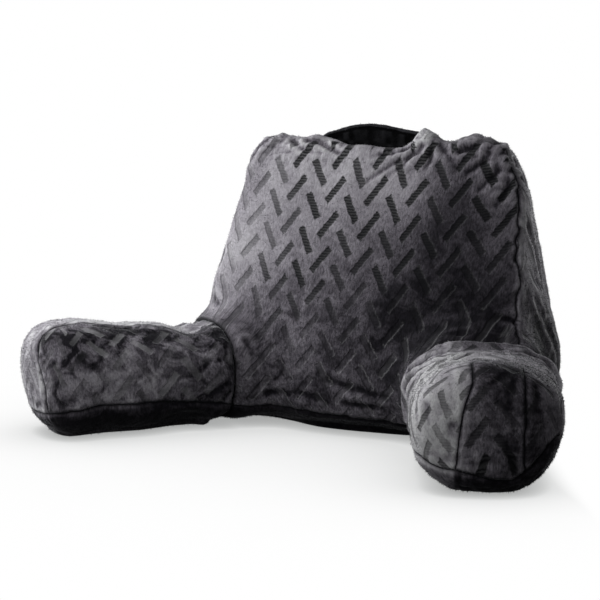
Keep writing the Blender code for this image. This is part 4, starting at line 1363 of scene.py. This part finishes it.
def standing_pile(tree, cover, nap, brushed):
    """The colour of the pile between the dashes, with its streaks and fibres, lighter or darker
    with the stored nap and its painted light and shade.
    """
    standing = blended(tree, "standing pile", (-5, 0), brushed, opaque(cover.pile_dark),
                       opaque(cover.pile_light))
    strong = ranged(tree, "streak strength", (-6, 2), brushed, (0.05, 0.75, 1.05, 0.34))
    shade = maths(tree, "SUBTRACT", "centred streaks", (-6, 3), nap["Streaks"], 0.5)
    shade = maths(tree, "MULTIPLY_ADD", "streak shade", (-5, 2), shade, strong, 0.82)
    shade = maths(tree, "MULTIPLY_ADD", "fibre shade", (-4, 2), nap["Fibres"], 0.40, shade)
    standing = blended(tree, "streaked pile", (-3, 0), 1.0, standing, shade, "MULTIPLY")
    tone = blended(tree, "tone", (-4, 1), brushed, opaque(cover.shade_tone), (1.0, 1.0, 1.0, 1.0))
    return blended(tree, "toned pile", (-3, 1), 1.0, standing, tone, "MULTIPLY")


def painted_dash_sheen(tree, dashes, crushed, weak, off_base):
    """How much painted sheen a weakly pressed dash gets, by chance and on crushed nap."""
    lit = maths(tree, "MULTIPLY", "lit rims", (-4, 10), dashes["Rim"], 0.45)
    lit = maths(tree, "ADD", "lit dashes", (-3, 9), dashes["Pressed"], lit)
    chosen = ranged(tree, "lit by chance", (-3, 10), dashes["Chance"], (0.30, 0.75, 0.0, 1.0))
    lit = maths(tree, "MULTIPLY", "chosen dashes", (-2, 10), lit, chosen)
    on_crushed = ranged(tree, "on crushed nap", (-3, 12), crushed, (0.35, 0.65, 0.15, 1.2))
    lit = maths(tree, "MULTIPLY", "lit on crushed nap", (-2, 12), lit, on_crushed)
    lit = maths(tree, "MULTIPLY", "lit and weak", (-2, 9), lit, weak)
    lit = maths(tree, "MULTIPLY", "lit off base", (-1, 9), lit, off_base)
    return maths(tree, "MULTIPLY", "lit share", (0, 9), lit, 0.19)


def plush_height(tree, dashes, nap, seams, weak, off_base):
    """The height of pressed dashes with their rims, of streaks and fibres, and of seams."""
    depth = maths(tree, "MULTIPLY_ADD", "press depth", (-5, 9), weak, -0.0012, -0.0007)
    height = maths(tree, "MULTIPLY", "press height", (-4, 8), dashes["Pressed"], depth)
    height = maths(tree, "MULTIPLY_ADD", "rim height", (-4, 9), dashes["Rim"], 0.00035, height)
    height = maths(tree, "MULTIPLY", "base height", (-3, 7), height, off_base)
    height = maths(tree, "MULTIPLY_ADD", "streak height", (-2, 7), nap["Streaks"], 0.00016, height)
    height = maths(tree, "MULTIPLY_ADD", "fibre height", (-1, 7), nap["Fibres"], 0.00012, height)
    height = maths(tree, "MULTIPLY_ADD", "patch height", (0, 7), nap["Patches"], 0.00035, height)
    return maths(tree, "MULTIPLY_ADD", "seam height", (1, 7), seams["Line"], -0.0010, height)


def build_plush(cover):
    """Charcoal plush: brushed nap over a dark ground, pressed dashes and sewn seams, with painted
    light and shade in the stored nap, on the dashes' rims and beside the seams.
    """
    _, shader, tree = new_material("charcoal plush")
    cloth = add(tree, "ShaderNodeUVMap", "cloth", (-9, 0), uv_map="cloth").outputs[0]
    place = add(tree, "ShaderNodeTexCoord", "place", (-9, 2)).outputs["Object"]
    dashes = grouped(tree, "pressed dashes", "dashes", (-7, 0), {
        "Cloth": cloth, "Column pitch": cover.column_pitch, "Row pitch": cover.row_pitch,
        "Length": cover.dash_length, "Width": cover.dash_width, "Lean": cover.dash_lean})
    nap = grouped(tree, "brushed nap", "nap", (-7, 2), {"Cloth": cloth, "Place": place})
    seams = grouped(tree, "sewn seams", "seams", (-7, 4), {"Line width": 0.0016})
    ground, light = opaque(cover.ground_colour), opaque(cover.pile_light)
    # The stored nap carries painted light and shade as well as the nap's own patches.
    brushed = add(tree, "ShaderNodeAttribute", "brushed", (-7, 6), attribute_name="nap")
    crushed = add(tree, "ShaderNodeAttribute", "crushed", (-8, 6), attribute_name="crush")
    centred = maths(tree, "SUBTRACT", "centred patches", (-7, 7), nap["Patches"], 0.5)
    patched = maths(tree, "MULTIPLY_ADD", "brushed patches", (-6, 6), centred,
                    crushed.outputs["Fac"], brushed.outputs["Fac"])
    brushed = ranged(tree, "nap level", (-5, 6), patched, (-0.04, 1.38, 0.0, 1.0), smooth=False)
    brushed = maths(tree, "POWER", "nap contrast", (-5, 7), brushed, 1.25)
    standing = standing_pile(tree, cover, nap, brushed)
    ribbed = maths(tree, "MULTIPLY", "ribbed floor", (-4, 4), nap["Ribs"], 0.22)
    ribbed = maths(tree, "MULTIPLY", "ribbed level", (-3, 4), ribbed, brushed)
    pressed = blended(tree, "pressed pile", (-3, 3), ribbed, ground, light)
    shown = add(tree, "ShaderNodeAttribute", "press contrast", (-5, 8), attribute_name="show")
    faded = shown.outputs["Fac"]
    off_base = maths(tree, "SUBTRACT", "off base", (-4, 7), 1.0, seams["On base"])
    faded = maths(tree, "MULTIPLY", "plain base", (-3, 6), faded, off_base)
    uneven = maths(tree, "MULTIPLY_ADD", "uneven press", (-4, 5), dashes["Chance"], 0.36, 0.82)
    faded = maths(tree, "MULTIPLY", "uneven share", (-3, 8), faded, uneven)
    share = maths(tree, "MULTIPLY", "press share", (-3, 5), dashes["Pressed"], faded)
    cloth_colour = blended(tree, "pattern", (-2, 0), share, standing, pressed)
    # Painted sheen: weakly pressed dashes turn toward the brushed pile's colour.
    weak = ranged(tree, "weak press", (-4, 9), shown.outputs["Fac"], (0.15, 0.60, 1.0, 0.0))
    lit = painted_dash_sheen(tree, dashes, crushed.outputs["Fac"], weak, off_base)
    cloth_colour = blended(tree, "lit dashes", (-1, 1), lit, cloth_colour, light)
    calmer = ranged(tree, "calmer on crushed nap", (-2, 13), crushed.outputs["Fac"],
                    (0.35, 0.65, 1.0, 0.35))
    weak = maths(tree, "MULTIPLY", "calmer press", (-2, 11), weak, calmer)
    # Painted highlights and shadows on the dashes' rims, strongest where the dashes are pressed
    # weakly.
    showing = maths(tree, "MULTIPLY_ADD", "edge share", (-1, 11), weak, 0.75, 0.25)
    showing = maths(tree, "MULTIPLY", "edge off base", (0, 11), showing, off_base)
    edge = maths(tree, "MULTIPLY", "lit edge", (0, 10), dashes["Lit edge"], showing)
    broken = maths(tree, "MULTIPLY_ADD", "broken edge", (0, 13), nap["Streaks"], 0.21, 0.04)
    broken = maths(tree, "MULTIPLY", "calmer edge", (1, 13), broken, calmer)
    edge = maths(tree, "MULTIPLY", "lit edge share", (1, 10), edge, broken)
    cloth_colour = blended(tree, "lit edges", (0, 1), edge, cloth_colour, light)
    edge = maths(tree, "MULTIPLY", "dark edge", (0, 12), dashes["Dark edge"], showing)
    edge = maths(tree, "MULTIPLY", "dark edge share", (1, 12), edge, 0.45)
    cloth_colour = blended(tree, "dark edges", (1, 1), edge, cloth_colour, ground)
    # Painted shade: the colour darkens toward the ground beside each seam.
    shaded = maths(tree, "MULTIPLY", "seam shade", (-2, 3), seams["Shade"], 0.52)
    cloth_colour = blended(tree, "shaded seams", (-1, 0), shaded, cloth_colour, ground)
    cloth_colour = blended(tree, "seam lines", (0, 0), seams["Line"], cloth_colour, ground)
    tree.links.new(cloth_colour, shader.inputs["Base Color"])
    rough = maths(tree, "MULTIPLY_ADD", "roughness", (-1, 3), dashes["Pressed"], -0.12, 0.92)
    tree.links.new(rough, shader.inputs["Roughness"])
    height = plush_height(tree, dashes, nap, seams, weak, off_base)
    bump = add(tree, "ShaderNodeBump", "relief", (2, 5),
               {"Strength": 0.75, "Distance": 1.0, "Height": height})
    tree.links.new(bump.outputs[0], shader.inputs["Normal"])
    give_shine(shader, 0.06, cover.pile_sheen, 0.32)
    shader.inputs["Sheen Tint"].default_value = (0.80, 0.81, 0.86, 1.0)


def build_strap_plush(strap):
    """Near-black plush of the strap."""
    _, shader, tree = new_material("black strap plush")
    place = add(tree, "ShaderNodeTexCoord", "place", (-6, 0)).outputs["Object"]
    nap = grouped(tree, "brushed nap", "nap", (-4, 0), {"Cloth": place, "Place": place})
    light = tuple(min(1.0, 26.0 * part) for part in strap.colour)
    # The stored nap carries the strap's painted highlights.
    brushed = add(tree, "ShaderNodeAttribute", "brushed", (-5, 2), attribute_name="nap")
    bright = maths(tree, "POWER", "few bright patches", (-4, 1), nap["Patches"], 2.0)
    bright = maths(tree, "MULTIPLY_ADD", "brushed patches", (-3, 0), bright, 0.16,
                   brushed.outputs["Fac"])
    colour = blended(tree, "brushed strap", (-2, 0), bright, opaque(strap.colour), opaque(light))
    shade = maths(tree, "MULTIPLY_ADD", "fibre shade", (-2, 2), nap["Fibres"], 0.6, 0.6)
    colour = blended(tree, "fibred strap", (-1, 0), 1.0, colour, shade, "MULTIPLY")
    tree.links.new(colour, shader.inputs["Base Color"])
    height = maths(tree, "MULTIPLY", "fibre height", (-2, 4), nap["Fibres"], 0.0004)
    height = maths(tree, "MULTIPLY_ADD", "patch height", (-1, 4), nap["Patches"], 0.0005, height)
    bump = add(tree, "ShaderNodeBump", "relief", (0, 4),
               {"Strength": 0.7, "Distance": 1.0, "Height": height})
    tree.links.new(bump.outputs[0], shader.inputs["Normal"])
    shader.inputs["Roughness"].default_value = 0.95
    give_shine(shader, 0.01, 0.02, 0.35)
    shader.inputs["Sheen Tint"].default_value = (0.5, 0.5, 0.55, 1.0)


def build_tip(name, colour, sheen):
    """Finish of the single tufts."""
    _, shader, _ = new_material(name)
    shader.inputs["Base Color"].default_value = opaque(colour)
    shader.inputs["Roughness"].default_value = 0.9
    give_shine(shader, 0.1, sheen, 0.4)


# ---- Pile -----------------------------------------------------------------------------------
# How far each finish of the tips lies between the stroked and the brushed pile's colour: lighter
# and darker copies of the pile's finish.
TIPS = {"Dark tips": 0.0, "Middle tips": 0.22, "Light tips": 0.62}
# The nap, painted light and shade included, from which tips take each finish.
TIP_LEVELS = {"Dark tips": -9.0, "Middle tips": 0.36, "Light tips": 0.78}
# The brushed tips' share of the cover's sheen.
TIP_SHEEN = 0.3
# How far tufts lean off the normal, and how near to a joint none stand.
TUFT_LEAN = 0.45
BARE_AT_JOINT = 0.004


def build_pile_tree():
    """Geometry nodes that stand short leaning tufts on a cover, shorter in a pressed dash."""
    tree = bpy.data.node_groups.new("plush pile", "GeometryNodeTree")
    for label, kind in (("Cover", "NodeSocketGeometry"), ("Density", "NodeSocketFloat"),
                        ("Length", "NodeSocketFloat"), ("Width", "NodeSocketFloat"),
                        ("Lean", "NodeSocketFloat"), ("Seed", "NodeSocketInt"),
                        ("Dark tips", "NodeSocketMaterial"), ("Middle tips", "NodeSocketMaterial"),
                        ("Light tips", "NodeSocketMaterial")):
        tree.interface.new_socket(label, in_out="INPUT", socket_type=kind)
    tree.interface.new_socket("Pile", in_out="OUTPUT", socket_type="NodeSocketGeometry")
    given = tree.nodes.new("NodeGroupInput").outputs
    result = tree.nodes.new("NodeGroupOutput").inputs
    pressed = add(tree, "GeometryNodeInputNamedAttribute", "pressed", (0, 2), {"Name": "pressed"},
                  data_type="FLOAT").outputs["Attribute"]
    joint = add(tree, "GeometryNodeInputNamedAttribute", "joint", (0, 4), {"Name": "joint_seam"},
                data_type="FLOAT").outputs["Attribute"]
    open_place = maths(tree, "GREATER_THAN", "clear of joint", (1, 4), joint, BARE_AT_JOINT)
    where = add(tree, "GeometryNodeInputPosition", "place", (0, 6)).outputs[0]
    height = add(tree, "ShaderNodeSeparateXYZ", "height", (1, 6), {0: where}).outputs[2]
    above = maths(tree, "GREATER_THAN", "above the floor", (2, 6), height, given["Length"])
    open_place = maths(tree, "MULTIPLY", "free place", (2, 4), open_place, above)
    density = maths(tree, "MULTIPLY", "density", (2, 3), open_place, given["Density"])
    points = add(tree, "GeometryNodeDistributePointsOnFaces", "tuft places", (3, 0),
                 {"Mesh": given["Cover"], "Density": density, "Seed": given["Seed"]},
                 distribute_method="RANDOM")
    tuft = add(tree, "GeometryNodeMeshCone", "tuft", (3, 3),
               {"Vertices": 3, "Radius Top": 0.0, "Radius Bottom": given["Width"],
                "Depth": given["Length"]}, fill_type="NONE")
    wander = add(tree, "FunctionNodeRandomValue", "wander", (3, 6),
                 {0: (-1.0, -1.0, -1.0), 1: (1.0, 1.0, 1.0), "Seed": 3}, data_type="FLOAT_VECTOR")
    wander = add(tree, "ShaderNodeVectorMath", "scaled wander", (4, 6),
                 {0: wander.outputs[0], 3: given["Lean"]}, operation="SCALE")
    hang = add(tree, "ShaderNodeVectorMath", "brushed way", (5, 6),
               {0: wander.outputs[0], 1: (-0.25, 0.0, -0.35)}, operation="ADD")
    facing = add(tree, "ShaderNodeVectorMath", "leaning", (6, 5),
                 {0: points.outputs["Normal"], 1: hang.outputs[0]}, operation="ADD")
    turn = add(tree, "FunctionNodeAlignRotationToVector", "turn", (7, 5),
               {"Vector": facing.outputs[0]}, axis="Z")
    size = add(tree, "FunctionNodeRandomValue", "size", (5, 8), {2: 0.55, 3: 1.15, "Seed": 7},
               data_type="FLOAT").outputs[1]
    flat = maths(tree, "MULTIPLY_ADD", "flattened", (5, 3), pressed, -0.75, 1.0)
    size = maths(tree, "MULTIPLY", "tuft size", (6, 3), size, flat)
    placed = add(tree, "GeometryNodeInstanceOnPoints", "stand tufts", (8, 0),
                 {"Points": points.outputs["Points"], "Instance": tuft.outputs["Mesh"],
                  "Rotation": turn.outputs[0], "Scale": size})
    real = add(tree, "GeometryNodeRealizeInstances", "real tufts", (9, 0),
               {"Geometry": placed.outputs[0]})
    # The stored nap, painted light and shade included, picks each tip's finish.
    nap = add(tree, "GeometryNodeInputNamedAttribute", "nap", (9, 2), {"Name": "nap"},
              data_type="FLOAT").outputs["Attribute"]
    tone = add(tree, "FunctionNodeRandomValue", "tone", (9, 5), {2: -0.08, 3: 0.08, "Seed": 19},
               data_type="FLOAT").outputs[1]
    tone = maths(tree, "ADD", "nap and tone", (10, 3), nap, tone)
    tone = maths(tree, "MULTIPLY_ADD", "pressed tone", (11, 3), pressed, -0.7, tone)
    shaped = real.outputs[0]
    for number, (label, level) in enumerate(TIP_LEVELS.items()):
        over = add(tree, "FunctionNodeCompare", "over " + label, (12, 2 + number),
                   {0: tone, 1: level}, data_type="FLOAT", operation="GREATER_THAN").outputs[0]
        shaped = add(tree, "GeometryNodeSetMaterial", label, (13 + number, 0),
                     {"Geometry": shaped, "Selection": over,
                      "Material": given[label]}).outputs[0]
    tree.links.new(shaped, result["Pile"])


def stand_pile(cover_piece, name, density, pile):
    """Stand the pile on one cover as a plain mesh of its own."""
    piece = new_piece(name, cover_piece.data.copy())
    growth = piece.modifiers.new("plush pile", "NODES")
    growth.node_group = bpy.data.node_groups["plush pile"]
    names = {item.name: item.identifier for item in growth.node_group.interface.items_tree
             if item.in_out == "INPUT"}
    values = {"Density": density, "Length": pile.length, "Width": pile.width, "Lean": TUFT_LEAN,
              "Seed": pile.seed}
    values.update({label: bpy.data.materials[label] for label in TIPS})
    for label, value in values.items():
        growth[names[label]] = value
    piece = made_plain(piece)
    for layer in [layer.name for layer in piece.data.uv_layers]:
        piece.data.uv_layers.remove(piece.data.uv_layers[layer])
    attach(piece, "root")


# ---- Stage ----------------------------------------------------------------------------------
PILLOW_MIDDLE = (0.0, 0.0, 0.22)
# Name, place and size of each light.
LIGHTS = (
    ("key", (-0.70, -0.30, 0.90), 0.6),
    ("low", (-0.20, -1.20, 0.30), 0.6),
    ("front", (0.10, -0.90, 1.00), 0.6),
    ("rim", (-1.50, 1.40, 1.10), 0.6),
    ("side", (-1.65, -0.12, 0.34), 0.8),
    ("back", (0.30, 2.40, 0.50), 1.0),
)
# Where the camera stands, and how far it looks down and round, in degrees.
CAMERA_PLACE = (1.4627, -2.3255, 0.550)
CAMERA_DROP = 6.974
CAMERA_TURN = 33.231
FILM_WIDTH = 36.0
FLOOR_HALF = 9
# The way over the floor to its open side, where painted light takes away the floor's wide painted
# shadow, and where that light starts and is whole.
OPEN_WAY = (0.837, 0.548, 0.0)
OPEN_SIDE = (0.23, 0.33, 0.0, 1.0)


def aimed_light(name, place, target, size, power):
    """A big soft light that points at a place."""
    data = bpy.data.lights.new(name, "AREA")
    data.shape = "SQUARE"
    data.size = size
    data.energy = power
    light = new_piece(name, data)
    light.location = place
    light.visible_camera = False
    light.rotation_euler = (Vector(target) - Vector(place)).to_track_quat("-Z", "Y").to_euler()


def build_floor():
    """A plain floor that shows white to the camera, with a painted shadow near the pillow and
    painted light on its open side, and throws little light back.
    """
    data = bpy.data.meshes.new("floor")
    far = FLOOR_HALF
    data.from_pydata([(-far, -far, 0), (far, -far, 0), (far, far, 0), (-far, far, 0)], [],
                     [(0, 1, 2, 3)])
    floor = new_piece("floor", data)
    material, shader, tree = new_material("pale floor")
    # Painted shadow: ambient occlusion close to the pillow and wider around it darkens the floor's
    # emission, and the shadowed floor is tinted.
    near = add(tree, "ShaderNodeAmbientOcclusion", "near shade", (-4, 2), {"Distance": 0.035},
               samples=16).outputs["AO"]
    wide = add(tree, "ShaderNodeAmbientOcclusion", "wide shade", (-4, 0), {"Distance": 0.80},
               samples=16).outputs["AO"]
    near = ranged(tree, "near level", (-3, 2), near, (0.0, 0.70, 0.52, 1.0), smooth=False)
    wide = ranged(tree, "wide level", (-3, 0), wide, (0.40, 0.95, 0.72, 1.0), smooth=False)
    place = add(tree, "ShaderNodeTexCoord", "place", (-6, 4)).outputs["Object"]
    along = add(tree, "ShaderNodeVectorMath", "towards the open side", (-5, 4),
                {0: place, 1: OPEN_WAY}, operation="DOT_PRODUCT").outputs["Value"]
    painted_lit_side = ranged(tree, "open side", (-4, 4), along, OPEN_SIDE)
    wide = maths(tree, "MAXIMUM", "lit wide level", (-3, 1), wide, painted_lit_side)
    glow = maths(tree, "MULTIPLY", "glow", (-2, 0), near, wide)
    tint = blended(tree, "floor tint", (-1, 2), glow, (0.978, 1.0, 0.992, 1.0),
                   (1.0, 1.0, 1.0, 1.0))
    shine = add(tree, "ShaderNodeEmission", "pale floor", (-1, 0),
                {"Color": tint, "Strength": glow})
    shader.inputs["Base Color"].default_value = (0.10, 0.10, 0.10, 1.0)
    shader.inputs["Roughness"].default_value = 0.9
    seen = add(tree, "ShaderNodeLightPath", "rays", (-2, 4)).outputs["Is Camera Ray"]
    mixed = add(tree, "ShaderNodeMixShader", "floor", (1, 0),
                {0: seen, 1: shader.outputs[0], 2: shine.outputs[0]})
    tree.links.new(mixed.outputs[0], tree.nodes["Material Output"].inputs["Surface"])
    data.materials.append(material)


def build_room(strength):
    """White all round to look at, with an even light of its own strength."""
    world = bpy.data.worlds.new("white room")
    world.use_nodes = True
    tree = world.node_tree
    shine = tree.nodes["Background"]
    shine.inputs["Color"].default_value = (1.0, 1.0, 1.0, 1.0)
    seen = add(tree, "ShaderNodeLightPath", "rays", (-3, 0)).outputs["Is Camera Ray"]
    level = ranged(tree, "room light", (-1, 0), seen, (0.0, 1.0, strength, 1.0), smooth=False)
    tree.links.new(level, shine.inputs["Strength"])
    bpy.context.scene.world = world


def build_stage(stage):
    """The floor, the lights and the camera."""
    build_floor()
    build_room(stage.room_light)
    for name, place, size in LIGHTS:
        aimed_light(name, place, PILLOW_MIDDLE, size, getattr(stage, name + "_power"))
    data = bpy.data.cameras.new("camera")
    data.lens = stage.lens
    data.sensor_width = FILM_WIDTH
    camera = new_piece("camera", data)
    camera.location = CAMERA_PLACE
    camera.rotation_euler = (math.radians(90.0 - CAMERA_DROP), 0.0, math.radians(CAMERA_TURN))
    bpy.context.scene.camera = camera
    bpy.context.scene.view_settings.view_transform = "Standard"


# ---- Operators ------------------------------------------------------------------------------
class PILLOW_OT_finishes(bpy.types.Operator):
    """Build the plush finishes and the node groups that they share"""
    bl_idname = "pillow.finishes"
    bl_label = "Build finishes"

    def execute(self, context):
        cover = context.scene.pillow_cover
        build_dash_group(cover)
        build_nap_group()
        build_seam_group()
        build_plush(cover)
        build_strap_plush(context.scene.pillow_strap)
        for name, share in TIPS.items():
            colour = tuple(low + share * (high - low)
                           for low, high in zip(cover.pile_dark, cover.pile_light))
            build_tip(name, colour, TIP_SHEEN * cover.pile_sheen * share)
        return {"FINISHED"}


class PILLOW_OT_backrest(bpy.types.Operator):
    """Dress the backrest in its plush cover"""
    bl_idname = "pillow.backrest"
    bl_label = "Dress backrest"

    def execute(self, context):
        dress_backrest(context.scene.pillow_cover)
        return {"FINISHED"}


class PILLOW_OT_arms(bpy.types.Operator):
    """Dress both arms in their plush covers"""
    bl_idname = "pillow.arms"
    bl_label = "Dress arms"

    def execute(self, context):
        for side in (-1, 1):
            dress_arm(side, context.scene.pillow_cover)
        return {"FINISHED"}


class PILLOW_OT_strap(bpy.types.Operator):
    """Make the carrying strap"""
    bl_idname = "pillow.strap"
    bl_label = "Make strap"

    def execute(self, context):
        dress_strap(context.scene.pillow_strap)
        return {"FINISHED"}


class PILLOW_OT_pile(bpy.types.Operator):
    """Stand the fibre tufts on the covers"""
    bl_idname = "pillow.pile"
    bl_label = "Stand pile"

    def execute(self, context):
        pile = context.scene.pillow_pile
        build_pile_tree()
        for cover, density in (("backrest_cover", pile.backrest_density),
                               ("arm_left_cover", pile.arm_density),
                               ("arm_right_cover", pile.arm_density)):
            name = cover.replace("cover", "pile")
            stand_pile(bpy.data.objects[cover], name, density, pile)
        stand_pile(bpy.data.objects["strap_band"], "strap_pile", pile.arm_density, pile)
        return {"FINISHED"}


class PILLOW_OT_stage(bpy.types.Operator):
    """Set up the floor, the lights and the camera"""
    bl_idname = "pillow.stage"
    bl_label = "Set the stage"

    def execute(self, context):
        build_stage(context.scene.pillow_stage)
        return {"FINISHED"}


class PILLOW_PT_sidebar(bpy.types.Panel):
    """The pillow's settings and steps"""
    bl_idname = "PILLOW_PT_sidebar"
    bl_label = "Reading pillow"
    bl_space_type = "VIEW_3D"
    bl_region_type = "UI"
    bl_category = "Pillow"

    def draw(self, context):
        for operator in STEPS:
            self.layout.operator(operator.bl_idname)
        for name, group in SETTINGS.items():
            box = self.layout.box()
            for key in group.__annotations__:
                box.prop(getattr(context.scene, name), key)


SETTINGS = {
    "pillow_cover": PillowCover,
    "pillow_pile": PillowPile,
    "pillow_strap": PillowStrap,
    "pillow_stage": PillowStage,
}
STEPS = (PILLOW_OT_finishes, PILLOW_OT_stage, PILLOW_OT_backrest, PILLOW_OT_arms, PILLOW_OT_strap,
         PILLOW_OT_pile)


def register():
    """Register the settings, the steps and the panel."""
    for group in (*SETTINGS.values(), *STEPS, PILLOW_PT_sidebar):
        bpy.utils.register_class(group)
    for name, group in SETTINGS.items():
        setattr(bpy.types.Scene, name, bpy.props.PointerProperty(type=group))


def unregister():
    """Take the settings, the steps and the panel away."""
    for name in SETTINGS:
        delattr(bpy.types.Scene, name)
    for group in reversed((*SETTINGS.values(), *STEPS, PILLOW_PT_sidebar)):
        bpy.utils.unregister_class(group)


def main():
    """Run every step."""
    register()
    bpy.ops.pillow.finishes()
    bpy.ops.pillow.stage()
    bpy.ops.pillow.backrest()
    bpy.ops.pillow.arms()
    bpy.ops.pillow.strap()
    bpy.ops.pillow.pile()


if __name__ == "__main__":
    main()
